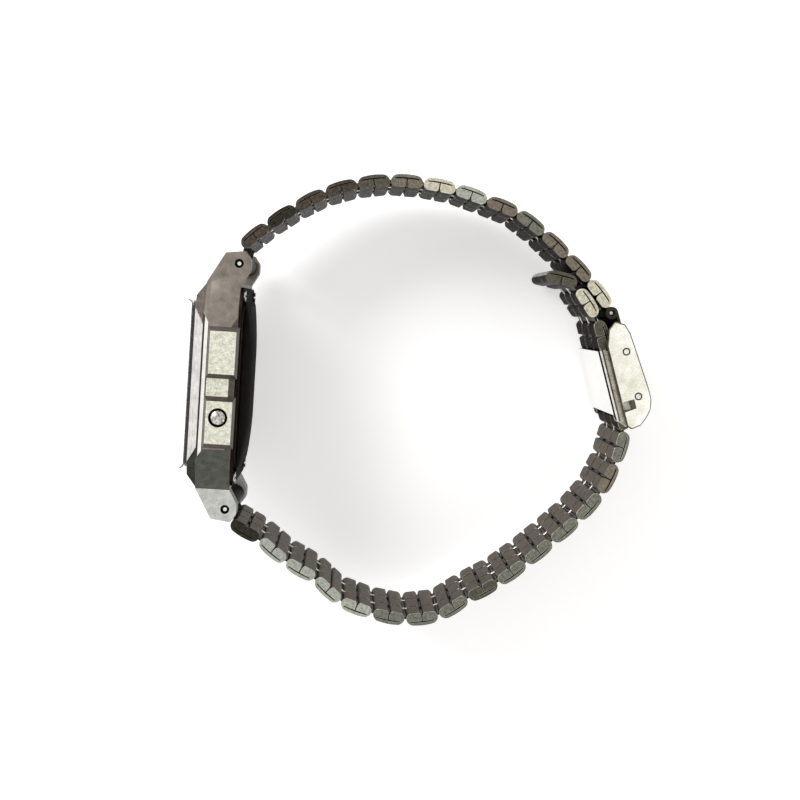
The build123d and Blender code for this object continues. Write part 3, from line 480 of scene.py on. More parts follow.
# %% [markdown]
# ## Finishes
# Steel is never one grey. It has a grain from the brush, small dents and stains, and it is brighter where
# hands rub it. Each finish below mixes a dark and a pale tone through a drawn-out noise, and the same noise
# changes the gloss and raises a very fine relief. All patterns are measured in watch millimetres, through a
# Mapping node that turns the object's own coordinates by the lean of the watch.

# %% Tones and patterns in watch millimetres
NOISE_LOW = 0.3
NOISE_HIGH = 0.7
NOISE_ROUGH = 0.6


def tone(red, green, blue):
    """A colour read as on a screen, from 0 to 255, in the light units a shader uses."""
    return tuple(((value / 255 + 0.055) / 1.055) ** 2.4 for value in (red, green, blue)) + (1.0,)


def new_finish(name, metallic, rough):
    """A material, its node tree and its shader, with a constant metal share and a first roughness."""
    material = bpy.data.materials.new(name)
    material.use_nodes = True
    shader = material.node_tree.nodes["Principled BSDF"]
    preset(shader, {"Metallic": metallic, "Roughness": rough})
    return material, material.node_tree, shader


def watch_place(tree):
    """The object's coordinates as watch millimetres."""
    coords = tree.nodes.new("ShaderNodeTexCoord")
    place = tree.nodes.new("ShaderNodeMapping")
    back = TURNED.transposed()
    scale = (1 / MM, 1 / MM, 1 / MM)
    preset(place, {"Scale": scale, "Rotation": back.to_euler("XYZ"), "Location": -(back @ DIAL) / MM})
    tree.links.new(coords.outputs["Object"], place.inputs["Vector"])
    return place.outputs["Vector"]


def grain(tree, place, size, stretch=(1, 1, 1), detail=4.0):
    """Noise with grains of this size in millimetres, drawn out along the axes by a stretch above one."""
    drawn = tree.nodes.new("ShaderNodeMapping")
    drawn.inputs["Scale"].default_value = [1 / (size * value) for value in stretch]
    noise = tree.nodes.new("ShaderNodeTexNoise")
    preset(noise, {"Scale": 1.0, "Detail": detail, "Roughness": NOISE_ROUGH})
    tree.links.new(place, drawn.inputs["Vector"])
    tree.links.new(drawn.outputs["Vector"], noise.inputs["Vector"])
    return noise.outputs["Fac"]


def mean(tree, first, second):
    """The mean of two patterns."""
    return worked_out(tree, "MULTIPLY", worked_out(tree, "ADD", first, second), 0.5)


def colour(tree, shader, pattern, dark, pale, spread):
    """Let a pattern turn a finish from dark to pale, over this spread on each side of its middle."""
    ramp = tree.nodes.new("ShaderNodeValToRGB")
    first, last = ramp.color_ramp.elements
    first.position = 0.5 - spread
    first.color = tone(*dark)
    last.position = 0.5 + spread
    last.color = tone(*pale)
    tree.links.new(pattern, ramp.inputs["Fac"])
    tree.links.new(ramp.outputs["Color"], shader.inputs["Base Color"])


def gloss(tree, shader, pattern, least, most):
    """Let a pattern vary the roughness of a finish between two values."""
    ranged = tree.nodes.new("ShaderNodeMapRange")
    preset(ranged, {"From Min": NOISE_LOW, "From Max": NOISE_HIGH, "To Min": least, "To Max": most})
    tree.links.new(pattern, ranged.inputs["Value"])
    tree.links.new(ranged.outputs["Result"], shader.inputs["Roughness"])


def relief(tree, shader, pattern, depth):
    """Raise a very fine relief; depth is in millimetres."""
    bump = tree.nodes.new("ShaderNodeBump")
    bump.inputs["Distance"].default_value = depth * MM
    tree.links.new(pattern, bump.inputs["Height"])
    tree.links.new(bump.outputs["Normal"], shader.inputs["Normal"])


# %% Steel, plating and plastic builders
STEEL_SPREAD = 0.14
PLASTIC_SPREAD = 0.15
ACRYLIC_IOR = 1.49


def steel(name, dark, pale, rough, size=0.12, stretch=(1, 1, 1), depth=0.004, metallic=1.0, mottle=1.1,
          edge=1.0):
    """Steel with a fine grain over larger stains; an edge below one dims its grazing gloss."""
    material, tree, shader = new_finish(name, metallic, rough)
    shader.inputs["Specular Tint"].default_value = (edge, edge, edge, 1)
    place = watch_place(tree)
    fine = grain(tree, place, size, stretch)
    stains = grain(tree, place, mottle, detail=3.0)
    colour(tree, shader, mean(tree, fine, stains), dark, pale, STEEL_SPREAD)
    gloss(tree, shader, fine, rough - 0.08, rough + 0.1)
    relief(tree, shader, fine, depth)
    return material


def plastic(name, dark, pale, rough, size=0.3, depth=0.004):
    """Moulded plastic, slightly cloudy, with a fine eroded skin."""
    material, tree, shader = new_finish(name, 0.0, rough)
    skin = grain(tree, watch_place(tree), size)
    colour(tree, shader, skin, dark, pale, PLASTIC_SPREAD)
    gloss(tree, shader, skin, rough - 0.06, rough + 0.08)
    relief(tree, shader, skin, depth)
    return material


def clear(name, tint, rough):
    """Clear moulded plastic with a trace of haze in its gloss."""
    material, tree, shader = new_finish(name, 0.0, rough)
    preset(shader, {"Base Color": tint, "IOR": ACRYLIC_IOR, "Transmission Weight": 1.0})
    gloss(tree, shader, grain(tree, watch_place(tree), 2.0), rough, rough + 0.05)
    return material


# %% [markdown]
# ## The case
# The case is moulded resin with a thin vapour-plated skin: metal to the eye, plastic to the touch. Under a
# loupe the skin is speckled. Its near side is one plane, and its tones there are painted light: the faces
# around the pushers are pale with a painted reflection over the speckle, the flanks above and below them
# are darker, the lower one with a painted dark reflection, and the tip of the lower lug is pale with a
# painted reflection. The faces turned away, the pushers' wells and a fine line on the dial-side slope carry
# painted shade, beside a painted highlight. The measured solid already has the right shape, so each of its
# faces gets its tone by where it lies and the way it looks.

# %% Case finishes
case_brown = steel("case_brown", (104, 97, 89), (140, 132, 122), 0.42, 0.09, depth=0.005, metallic=0.5)
case_slope_shade = steel("case_slope_shade", (66, 58, 52), (98, 89, 82), 0.42, 0.09, depth=0.005, metallic=0.5)
guard_speckle_and_sheen = steel("guard_speckle_and_sheen", (178, 176, 156), (242, 240, 226), 0.4, 0.2, depth=0.008, metallic=0.3,
                   mottle=0.5)
low_flank_painted_dark = steel("low_flank_painted_dark", (56, 56, 51), (94, 94, 86), 0.42, 0.11, depth=0.005, metallic=0.5)
lug_tip_painted_reflection = steel("lug_tip_painted_reflection", (162, 164, 158), (206, 208, 202), 0.35, 0.2, metallic=0.4)
slope_painted_highlight = steel("slope_painted_highlight", (220, 216, 210), (250, 248, 242), 0.3, 0.1, depth=0.003, metallic=0.4)
well_painted_shade = steel("well_painted_shade", (14, 12, 10), (34, 30, 26), 0.45, 0.1, metallic=0.5)

# %% Dress the case shell
CASE_EDGE = 0.07
SIDEWAYS = 0.8
STRAIGHT_END = 8.3
BODY_END = 14.0
GUARD_SIDE = 15.5
GUARDS_END = 7.5
DARK_LINE = 0.3
BRIGHT_LINE = 0.8
WELL_ROUND = 1.3
case = dressed("case_shell", CASE_EDGE)
BODY_FRONT = min(point.co.x for point in case.data.vertices)
for depth in (DARK_LINE, BRIGHT_LINE):
    cut(case, (BODY_FRONT + depth, 0, 0), (1, 0, 0))


def points_of(node):
    """The points of a measured part, in watch millimetres."""
    return [FROM_TABLE @ point.co for point in frame["nodes"][node].data.vertices]


def box_middle(points):
    """The middle of the box around some points, seen from the 3 o'clock side."""
    return Vector([(min(values) + max(values)) / 2 for values in zip(*points)][:2])


PUSHERS = {name: box_middle(points_of(name)) for name in ("pusher_light", "pusher_mode", "pusher_alarm")}


def flank(place, normal):
    return abs(normal.z) > SIDEWAYS


def on_guard(place, normal):
    return flank(place, normal) and abs(place.z) > GUARD_SIDE and abs(place.y) < GUARDS_END


def low_flank(place, normal):
    return flank(place, normal) and -BODY_END < place.y < -STRAIGHT_END


def lug_tip(place, normal):
    return flank(place, normal) and place.y < -BODY_END


def other_side(place, normal):
    return not flank(place, normal)


def on_slope(place, normal):
    """The slope on the dial side of the straight part."""
    return abs(place.y) < STRAIGHT_END and normal.x < -0.3 and abs(normal.z) > 0.2


def dark_line(place, normal):
    return on_slope(place, normal) and place.x < BODY_FRONT + DARK_LINE


def bright_line(place, normal):
    return on_slope(place, normal) and BODY_FRONT + DARK_LINE < place.x < BODY_FRONT + BRIGHT_LINE


def in_well(place, normal):
    """The walls of the round wells around the pushers, painted dark as shade."""
    near = min((place.to_2d() - centre).length for centre in PUSHERS.values())
    return near < WELL_ROUND and abs(normal.z) < SQUARE_ON


# Painted light on the case: pale painted reflections on the guards over their speckle and on the lug tip, a
# darker painted reflection on the low flank, painted shade on the faces turned away and in the pushers'
# wells, and on the dial-side slope a fine line of painted shade beside a line of painted highlight.
paint(case, case_brown, (case_slope_shade, other_side), (guard_speckle_and_sheen, on_guard), (low_flank_painted_dark, low_flank),
      (lug_tip_painted_reflection, lug_tip), (slope_painted_highlight, bright_line), (well_painted_shade, dark_line), (well_painted_shade, in_well))
settle(case, "case_shell")

# %% [markdown]
# ## Bezel, crystal and its film
# The bezel is a pressed frame with a mirror plating. Its straight side is painted nearly white, a painted
# reflection of the sky, and its cut corners are painted grey towards 12 o'clock and dark towards 6 o'clock,
# painted reflections of something dark. The crystal is clear plastic, and the film that protected it in the
# shop still sticks to it with its ends curled up. Plastic seen along its thickness looks dark, so the rim
# gets painted shade.

# %% Dress the bezel
BEZEL_EDGE = 0.05
BEZEL_CORNER = STRAIGHT_END - 0.1
bezel_painted_sky = steel("bezel_painted_sky", (205, 198, 196), (244, 240, 238), 0.16, 0.3, (1, 6, 1), 0.002)
bezel_painted_grey = steel("bezel_painted_grey", (98, 90, 84), (132, 123, 116), 0.22, 0.2, depth=0.003)
bezel_painted_dark = steel("bezel_painted_dark", (42, 43, 38), (72, 73, 66), 0.25, 0.15, depth=0.003)
dress("bezel", BEZEL_EDGE, bezel_painted_sky, (bezel_painted_grey, lambda place, normal: place.y > BEZEL_CORNER),
      (bezel_painted_dark, lambda place, normal: place.y < -BEZEL_CORNER))

# %% Crystal and film
CRYSTAL_EDGE = 0.06
THIN_EDGE = 0.01
crystal_clear = clear("crystal_clear", (0.93, 0.97, 0.97, 1), 0.02)
rim_painted_shade = plastic("rim_painted_shade", (20, 20, 22), (44, 42, 42), 0.15, 0.3, 0.001)
film_clear = clear("film_clear", (0.86, 0.9, 0.97, 1), 0.05)


def along_rim(place, normal):
    return abs(normal.x) < 0.6


# The rims of crystal and film carry painted shade.
dress("crystal", CRYSTAL_EDGE, crystal_clear, (rim_painted_shade, along_rim))
dress("protective_film", THIN_EDGE, film_clear, (rim_painted_shade, along_rim))

# %% [markdown]
# ## Case back and its screws
# The back is stamped stainless steel, brushed along the watch and painted dark all over as painted shade.
# Four small screws hold it. Their heads are polished and stand out against the dark plate.

# %% Dress the back and the screws
BACK_EDGE = 0.05
SCREW_EDGE = 0.04
back_painted_shade = steel("back_painted_shade", (22, 18, 16), (52, 44, 39), 0.45, 0.07, (1, 30, 1), 0.003, edge=0.15)
screw_steel = steel("screw_steel", (120, 116, 110), (214, 210, 202), 0.22, 0.2, depth=0.002)
dress("case_back", BACK_EDGE, back_painted_shade)
dress("back_screws", SCREW_EDGE, screw_steel)

# %% [markdown]
# ## Pushers
# Each pusher is a turned steel button with a domed head, polished on a buff. It stands in a well whose
# walls are painted dark as shade, so its round edge is drawn by that painted shadow around it.

# %% Dress the pushers
DOME = 0.3
DOME_STEPS = 6
HEAD_ROUND = 1.06
HEAD_RIM = 0.35
PUSHER_EDGE = 0.02
pusher_steel = steel("pusher_polished", (70, 67, 58), (250, 248, 240), 0.2, 0.3, depth=0.006, mottle=1.0)


def head_rim(centre, head):
    """A rule for the round edge of a pusher's head, which reaches this far to its side."""

    def rule(place, way):
        out = (place.to_2d() - centre).length > HEAD_ROUND
        return out and abs(place.z) > head - HEAD_RIM and abs(way.z) < 0.5

    return rule


for name, centre in PUSHERS.items():
    pusher = merged(name)
    rim_edges = pick(pusher, "EDGE", head_rim(centre, max(reach(pusher))))
    bpy.ops.mesh.bevel(offset=DOME, segments=DOME_STEPS)
    done()
    soften(pusher, PUSHER_EDGE, LATHE_ANGLE)
    paint(pusher, pusher_steel)
    settle(pusher, name)
    print("dome edges", rim_edges)

# %% [markdown]
# ## The display
# Numbers on a liquid crystal display are made of seven straight strokes. One is modelled as a thin plate
# with pointed ends and is copied for each lit stroke. The time is ten past ten, as in a shop window. A thin
# pale line frames the window on the face plate.

# %% One stroke of a number
STROKE_LENGTH = 2.3
STROKE_WIDTH = 0.42
STROKE_POINT = 0.48
INK = 0.012
stroke = flat_piece(STROKE_WIDTH, STROKE_LENGTH)
whole(stroke)
bpy.ops.mesh.bevel(offset=STROKE_WIDTH * STROKE_POINT, segments=1, affect="VERTICES")
draw_out(INK)
print("stroke points", len(stroke.data.vertices))

# %% Ten past ten
LIT = {"0": "abcdef", "1": "bc"}
STEP = STROKE_LENGTH + 0.12
STROKES = {"a": (0, 1, 90), "b": (0.5, 0.5, 0), "c": (0.5, -0.5, 0), "d": (0, -1, 90), "e": (-0.5, -0.5, 0),
           "f": (-0.5, 0.5, 0)}
LCD_FACE = 1.5
WINDOW_DROP = -1.2
NUMBER_STARTS = (-6.3, -2.4, 2.4, 6.3)
DOT_RISE = 0.4
DOT_HEIGHT = 0.24
UPRIGHT = Matrix(((0, 0, -1), (0, 1, 0), (1, 0, 0))).to_4x4()


def on_dial(depth, across, along):
    """Stand a flat piece up to face the wearer, across towards 3 o'clock and along towards 12 o'clock."""
    return Matrix.Translation((depth, along, across)) @ UPRIGHT


lit = []
for sign, start in zip("1010", NUMBER_STARTS):
    for key in LIT[sign]:
        across, along, turn = STROKES[key]
        place = on_dial(LCD_FACE, start + across * STEP, WINDOW_DROP + along * STEP)
        lit.append(twin(stroke, "stroke", place @ Matrix.Rotation(math.radians(turn), 4, "Z")))
for side in (-1, 1):
    place = on_dial(LCD_FACE, 0, WINDOW_DROP + side * STEP * DOT_RISE)
    lit.append(twin(stroke, "dot", place @ Matrix.Scale(DOT_HEIGHT, 4, (0, 1, 0))))
numbers = joined(lit, "display_numbers")
paint(numbers, plastic("ink_dark", (18, 20, 24), (34, 36, 40), 0.3, 0.4, 0.001))
settle(numbers, "lcd_panel", stands_for=False)

# %% A thin frame line on the face plate
FACE_FRONT = 1.2
FRAME_LENGTH = 19.6
FRAME_WIDTH = 11.0
FRAME_CORNER = 0.9
LINE_WIDTH = 0.22
line = flat_piece(FRAME_LENGTH, FRAME_WIDTH)
line.name = "face_line"
whole(line)
bpy.ops.mesh.bevel(offset=FRAME_CORNER, segments=6, affect="VERTICES")
bpy.ops.mesh.inset(thickness=LINE_WIDTH, depth=0)
bpy.ops.mesh.delete(type="FACE")
bpy.ops.mesh.select_all(action="SELECT")
draw_out(INK)
line.data.transform(on_dial(FACE_FRONT, 0, WINDOW_DROP))
paint(line, plastic("line_pale", (176, 190, 204), (206, 216, 226), 0.35, 0.4, 0.001))
settle(line, "face_plate", stands_for=False)

# %% [markdown]
# ## Inside the case
# The module, its board and its cell hide behind the back and the face. They keep their measured shapes, and
# each gets the finish of its own material in its slots. The pushers' coil springs are dressed too, because
# they have to shorten when a pusher goes in.

# %% Finishes of the inner parts
INNER = {
    "face_plate": plastic("face_black", (16, 17, 20), (30, 31, 36), 0.32, 0.5, 0.002),
    "lcd_panel": plastic("lcd_grey", (142, 150, 132), (160, 168, 150), 0.2, 1.5, 0.001),
    "module_frame": plastic("module_ivory", (196, 194, 184), (218, 216, 208), 0.5, 0.4),
    "zebra_strips": plastic("zebra_rubber", (120, 100, 108), (168, 150, 156), 0.7, 0.12),
    "circuit_board": plastic("board_green", (26, 84, 44), (48, 118, 66), 0.4, 0.35),
    "battery_cell": steel("cell_steel", (176, 176, 172), (222, 222, 218), 0.28, 0.1, (1, 12, 1), 0.002),
    "battery_clip": steel("clip_spring", (150, 144, 134), (204, 198, 186), 0.3, 0.1, (1, 10, 1), 0.002),
    "piezo_disc": steel("piezo_brass", (170, 136, 70), (224, 190, 112), 0.34, 0.2, depth=0.003),
    "case_seals": plastic("seal_rubber", (14, 14, 15), (32, 32, 33), 0.75, 0.15, 0.005),
}
for node, material in INNER.items():
    for slot in frame["nodes"][node].material_slots:
        slot.material = material
print("inner parts finished", len(INNER))

# %% Springs that shorten under their pushers
for name in ("light", "mode", "alarm"):
    node = "pusher_spring_" + name
    spring = dressed(node, THIN_EDGE)
    paint(spring, INNER["battery_clip"])
    settle(spring, node)
    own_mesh(spring)

# %% [markdown]
# ## Spring bars
# A spring bar is a turned tube with thin tips. Only its tips show, as bright dots in the dark lug holes.
# The bar and a ring around each tip's middle are painted near black, a painted shade of the lug hole.

# %% Dress the spring bars
TIP_RING = 0.24
BAR_EDGE = 0.08
bars = merged("spring_bars")
bar_end = reach(bars)[5]
tips = pick(bars, "FACE", lambda place, normal: abs(place.z) > bar_end - TOUCH)
bpy.ops.mesh.inset(thickness=TIP_RING, depth=0)
done()
soften(bars, BAR_EDGE, LATHE_ANGLE)
tip_painted_shade = steel("tip_painted_shade", (12, 11, 10), (36, 33, 30), 0.4, 0.1, depth=0.003, edge=0.2)
tip_end = steel("tip_end", (206, 202, 194), (250, 248, 242), 0.2, 0.2, depth=0.002, metallic=0.5)
bar_places = [pivot("upper_bar_hinge"), pivot("lower_bar_hinge")]


def tip_dot(place, normal):
    """The bright middle of a bar's end."""
    near = min((place.to_2d() - centre).length for centre in bar_places)
    return abs(place.z) > bar_end - NEAR and near < TIP_RING


paint(bars, tip_painted_shade, (tip_end, tip_dot))
print("bar tips", tips)
settle(bars, "spring_bars")

# %% [markdown]
# ## One folded strip of the bracelet
# A link of this bracelet is thin strip steel, folded so that its two ends curl in under the outer plate.
# From the side that fold is a long bar with two round lobes below, a notch between them and a fine slit
# above them. It could be built from curves, but a flat sheet is quicker: its corners are rounded, the notch
# and the slit are cut out, the outer side is arched a little, and the sheet is drawn out to the strip's
# width. The ends are then pressed in by a hair, which leaves a thin rim around each end; the pale rims and
# the centre strips' rims are painted highlights.

# %% The strip's outline
EYE_SPAN = 2.7
END_REACH = 0.86
FOOT = -0.86
SHOULDER = 0.66
CROWN = 0.29
NOTCH_HALF = 0.07
SLIT_LOW = 0.22
SLIT_HIGH = 0.34
SLIT_END = -0.34
LOBE_ROUND = 0.68
ARCH_CUTS = (0.2, 0.6, 0.95, 1.75, 2.1, 2.5)
NEARLY_ROUND = 0.995
MIDDLE = EYE_SPAN / 2
HALF_LONG = MIDDLE + END_REACH
HALF_HIGH = (SHOULDER - FOOT) / 2
CENTRE_HIGH = (SHOULDER + FOOT) / 2


def in_gap(place, normal):
    """The notch and the slit."""
    in_notch = abs(place.x - MIDDLE) < NOTCH_HALF and place.y < SLIT_HIGH
    in_slit = SLIT_LOW < place.y < SLIT_HIGH and SLIT_END < place.x < EYE_SPAN - SLIT_END
    return in_notch or in_slit


def lobe_corner(place, normal):
    """The corners of both lobes at the notch."""
    return abs(abs(place.x - MIDDLE) - NOTCH_HALF) < TOUCH and place.y < FOOT * 0.97


def strip_sheet():
    """The flat outline of a strip: first eye at zero, second eye along X, arch on the upper side."""
    outline = flat_piece(2 * HALF_LONG, 2 * HALF_HIGH, (MIDDLE, CENTRE_HIGH, 0))
    whole(outline)
    round_ends(HALF_HIGH * NEARLY_ROUND, 10, NEAR)
    done()
    for x in ARCH_CUTS + (SLIT_END, EYE_SPAN - SLIT_END, MIDDLE - NOTCH_HALF, MIDDLE + NOTCH_HALF):
        cut(outline, (x, 0, 0), (1, 0, 0))
    for y in (SLIT_LOW, SLIT_HIGH):
        cut(outline, (0, y, 0), (0, 1, 0))
    pick(outline, "FACE", in_gap)
    bpy.ops.mesh.delete(type="FACE")
    done()
    whole(outline)
    bpy.ops.mesh.dissolve_faces(use_verts=False)
    bpy.ops.mesh.select_all(action="SELECT")
    bpy.ops.mesh.delete_loose()
    done()
    lobes = pick(outline, "VERT", lobe_corner)
    bpy.ops.mesh.bevel(offset=LOBE_ROUND, segments=5, affect="VERTICES")
    done()
    for point in outline.data.vertices:
        share = max(0, (point.co.y - CENTRE_HIGH) / HALF_HIGH)
        point.co.y += CROWN * share * (1 - ((point.co.x - MIDDLE) / HALF_LONG) ** 2)
    print("sheet points", len(outline.data.vertices), "lobe corners", lobes)
    return outline


sheet = strip_sheet()

# %% Draw the sheet out to strips, and press their ends
RIM = 0.08
PRESSED = -0.03
WIDTHS = {"side": 5.4, "centre": 5.8}
STRIP_EDGE = 0.03
CORE_LONG = EYE_SPAN + 0.1
CORE_SHORT = 0.9
CORE_LOW = -0.45
CORE_HIGH = 0.72
CORE_EDGE = 0.12


def core(width):
    """The inner fold that closes the slit from inside; it is painted dark as shade."""
    high = CORE_HIGH - CORE_LOW
    fold = block((CORE_LONG, high, width - 2 * CORE_SHORT), (MIDDLE, CORE_LOW + high / 2, width / 2))
    soften(fold, CORE_EDGE, FOLD_ANGLE, 3)
    return fold


def end_face(width, side):
    """A rule for a strip's end on one side."""
    return lambda place, normal: abs(normal.z) > SQUARE_ON and (place.z - width / 2) * side > width / 2.1


def folded_strip(width):
    """A strip from the sheet, with pressed ends inside thin rims."""
    strip = twin(sheet, "strip")
    whole(strip)
    draw_out(width)
    for side in (-1, 1):
        pick(strip, "FACE", end_face(width, side))
        bpy.ops.mesh.inset(thickness=RIM, depth=0, use_even_offset=True)
        bpy.ops.transform.translate(value=(0, 0, side * PRESSED))
        done()
    soften(strip, STRIP_EDGE, FOLD_ANGLE)
    print("strip", width, "reach", [round(value, 3) for value in reach(strip)])
    return strip


strips = {kind: folded_strip(width) for kind, width in WIDTHS.items()}
cores = {kind: core(width) for kind, width in WIDTHS.items()}

# %% [markdown]
# ## The clips between links
# The strips of one link don't touch the next link. Small wire clips run through the curls and out into the
# gaps between the three columns, where a short cross piece joins the rods of neighbouring links. The cross
# pieces are the bright dots between the columns. A web between the rods, painted dark as shade, keeps the
# light from shining through.

# %% A rod and a clip
ROD_ROUND = 0.33
ROD_LENGTH = 16.6
ROD_EDGE = 0.1
COLUMN_GAP = 0.5
HALF_CENTRE = WIDTHS["centre"] / 2
CROSS_THICK = 0.36
CROSS_HALF = 0.58
CROSS_ROUND = CROSS_HALF * 0.99
CROSS_GAP = 0.015
CROSS_EDGE = 0.1
WEB_THICK = 0.3
WEB_HALF = 7.9
WEB_EDGE = 0.08
bpy.ops.mesh.primitive_cylinder_add(vertices=20, radius=ROD_ROUND, depth=ROD_LENGTH)
rod = bpy.context.object
rod.name = "rod"
pick(rod, "EDGE", lambda place, way: abs(abs(place.z) - ROD_LENGTH / 2) < TOUCH)
bpy.ops.mesh.bevel(offset=ROD_EDGE, segments=3)
done()
smoothed(rod)


def cross_piece(length, middle):
    """A small plate with round ends that joins two rods this far apart, in the gap with this middle."""
    place = (length / 2, 0, middle - CROSS_THICK / 2)
    cross = flat_piece(length + 2 * CROSS_HALF, 2 * CROSS_HALF, place)
    whole(cross)
    round_ends(CROSS_ROUND, 7, CROSS_GAP)
    draw_out(CROSS_THICK)
    soften(cross, CROSS_EDGE, FOLD_ANGLE, 3)
    return cross


def clip(length):
    """Two rods this far apart, the first at zero and the second along X, with a cross piece in each gap."""
    pieces = [twin(rod, "rod_a"), twin(rod, "rod_b", Matrix.Translation((length, 0, 0)))]
    for side in (-1, 1):
        pieces.append(cross_piece(length, side * (HALF_CENTRE + COLUMN_GAP / 2)))
    for piece in pieces:
        paint(piece, clip_wire)
    web = block((length, WEB_THICK, 2 * WEB_HALF), (length / 2, 0, 0))
    soften(web, WEB_EDGE, FOLD_ANGLE)
    paint(web, slit_painted_shade)
    return joined(pieces + [web], "clip")


print("rod faces", len(rod.data.polygons))

# %% [markdown]
# ## Finishes of the bracelet
# The outer plates are brushed along the bracelet. The curls on the wrist side are darker with painted
# shade, and those of the lower half are painted lighter, as they catch more light. The cut ends differ
# most: each catches the light in its own way, from nearly black through olive and brown to cream, and that
# light is painted into their tones. So the ends get a few named tones, and every link takes the tone that
# the picture shows.

# %% Bracelet steels
strip_outer = steel("strip_outer", (122, 115, 104), (172, 165, 152), 0.3, 0.06, (1, 1, 14), 0.003)
curls_painted_shade = steel("curls_painted_shade", (50, 41, 35), (106, 90, 79), 0.3, 0.1, (1, 1, 8), mottle=0.8, edge=0.1)
curls_lower_painted_light = steel("curls_lower_painted_light", (84, 74, 66), (138, 126, 113), 0.34, 0.1, (1, 1, 8), mottle=0.8, edge=0.4)
strip_rim_painted_glint = steel("strip_rim_painted_glint", (150, 142, 132), (255, 252, 246), 0.16, 0.3, depth=0.003, mottle=0.7)
strip_rim = steel("strip_rim", (84, 77, 68), (136, 127, 113), 0.28, 0.1, mottle=0.5)
strip_rim_painted_highlight = steel("strip_rim_painted_highlight", (176, 172, 156), (226, 222, 208), 0.26, 0.1, mottle=0.5)
slit_painted_shade = steel("slit_painted_shade", (10, 9, 8), (26, 22, 19), 0.5, 0.1, metallic=0.6)
clip_wire = steel("clip_wire", (150, 145, 136), (246, 242, 234), 0.14, 0.3, depth=0.003, mottle=0.5)


def end_steel(name, dark, pale, rough=0.34, depth=0.012):
    """The steel of a strip's cut end, painted with one tone of the light it catches."""
    return steel("end_" + name, dark, pale, rough, 0.09, depth=depth, mottle=0.4)


# Each tone stands for the light that a cut end catches: painted light.
ENDS = {
    "black": end_steel("black", (26, 24, 20), (66, 62, 55)),
    "umber": end_steel("umber", (38, 33, 28), (96, 87, 77)),
    "grey": end_steel("grey", (84, 77, 67), (138, 130, 116)),
    "olive": end_steel("olive", (60, 57, 50), (104, 100, 88), depth=0.01),
    "moss": end_steel("moss", (80, 80, 71), (136, 136, 124), depth=0.01),
    "sage": end_steel("sage", (124, 126, 116), (192, 194, 182), rough=0.32, depth=0.01),
    "cream": end_steel("cream", (150, 144, 124), (226, 220, 200)),
}

# %% Finish the strips
CURLS_SLOT = 1
RIM_SLOT = 3
END_SLOT = 4


def finish_strip(strip, width):
    """Outer side brushed, curls with painted shade, slit and notch painted nearly black as shade, ends and
    rims in slots of their own.
    """
    middle = width / 2

    def inside(place, normal):
        deep = abs(normal.z) < 0.5 and FOOT * 0.9 < place.y < SLIT_HIGH + CROWN * 0.75
        return deep and SLIT_END - 0.03 < place.x < EYE_SPAN - SLIT_END + 0.03

    def wrist_side(place, normal):
        return normal.y < 0.15

    def end(place, normal):
        return abs(normal.z) > SQUARE_ON and abs(abs(place.z - middle) - middle - PRESSED) < NEAR

    def rim(place, normal):
        return abs(normal.z) > 0.2 and not end(place, normal)

    paint(strip, strip_outer, (curls_painted_shade, wrist_side), (slit_painted_shade, inside), (strip_rim, rim),
          (ENDS["grey"], end))
    print("strip", width, "mm wide, faces", len(strip.data.polygons))


for kind, width in WIDTHS.items():
    finish_strip(strips[kind], width)
    paint(cores[kind], slit_painted_shade)

# %% [markdown]
# ## Hanging the links
# Every link turns on the hinge at its first eye. How it lies is read from the measured part: the tips of
# its clip show the second eye. A piece for each link is then put together from three copies of the strip
# and one clip, turned to that heading, and shown in the measured link's stead.

# %% Read how a link lies
ROD_TIP = ROD_LENGTH / 2
CLASP_HEADING = 108
TAIL_HEADING = 170


def direction(angle):
    """One millimetre at an angle in degrees, seen from the 3 o'clock side."""
    return Vector((math.cos(math.radians(angle)), math.sin(math.radians(angle))))


def heading_of(node, first):
    """The angle from a link's first eye to its second, the middle of its clip's first rod."""
    tips = [point.to_2d() for point in points_of(node) if abs(point.z - ROD_TIP) < NEAR]
    second = [tip for tip in tips if abs((tip - first).length - EYE_SPAN) < ROD_ROUND + 0.1]
    way = box_middle(second) - first
    return math.degrees(math.atan2(way.y, way.x))


for node in ("upper_link_01", "upper_link_05", "lower_link_08", "tail_link_1"):
    print(node, "heading", round(heading_of(node, pivot(node + "_hinge")), 2))

# %% Put a link together
COLUMNS = ((HALF_CENTRE + COLUMN_GAP, "side"), (-HALF_CENTRE, "centre"),
           (-HALF_CENTRE - COLUMN_GAP - WIDTHS["side"], "side"))


def link_piece(name, first, heading, next_eye, outward, end_light, rim=strip_rim, curls=curls_painted_shade):
    """Three strips and a clip from the second eye to the next link's eye, in one piece."""
    flip = Matrix.Identity(4) if outward > 0 else Matrix.Rotation(math.pi, 4, "X")
    turn = Matrix.Rotation(math.radians(heading), 4, "Z")
    place = Matrix.Translation(first.to_3d()) @ turn @ flip
    pieces = []
    for low, kind in COLUMNS:
        column = place @ Matrix.Translation((0, 0, low))
        strip = twin(strips[kind], "column", column)
        strip.data.materials[CURLS_SLOT] = curls
        # The centre strips' rims carry a painted glint, and the pale rims a painted highlight.
        strip.data.materials[RIM_SLOT] = strip_rim_painted_glint if kind == "centre" else rim
        strip.data.materials[END_SLOT] = ENDS[end_light]
        pieces += [strip, twin(cores[kind], "fold", column)]
    if next_eye is not None:
        second = first + direction(heading) * EYE_SPAN
        way = next_eye - second
        wire = clip(way.length)
        lean = Matrix.Rotation(math.atan2(way.y, way.x), 4, "Z")
        wire.data.transform(Matrix.Translation(second.to_3d()) @ lean)
        pieces.append(wire)
    return joined(pieces, name)


# %% [markdown]
# ## The two halves of the bracelet
# Each link's cut ends carry their own tone of painted light. The upper half starts nearly black at the
# case and ends cream at the clasp. The lower half starts black, turns pale, and is a dull sage for the
# rest.

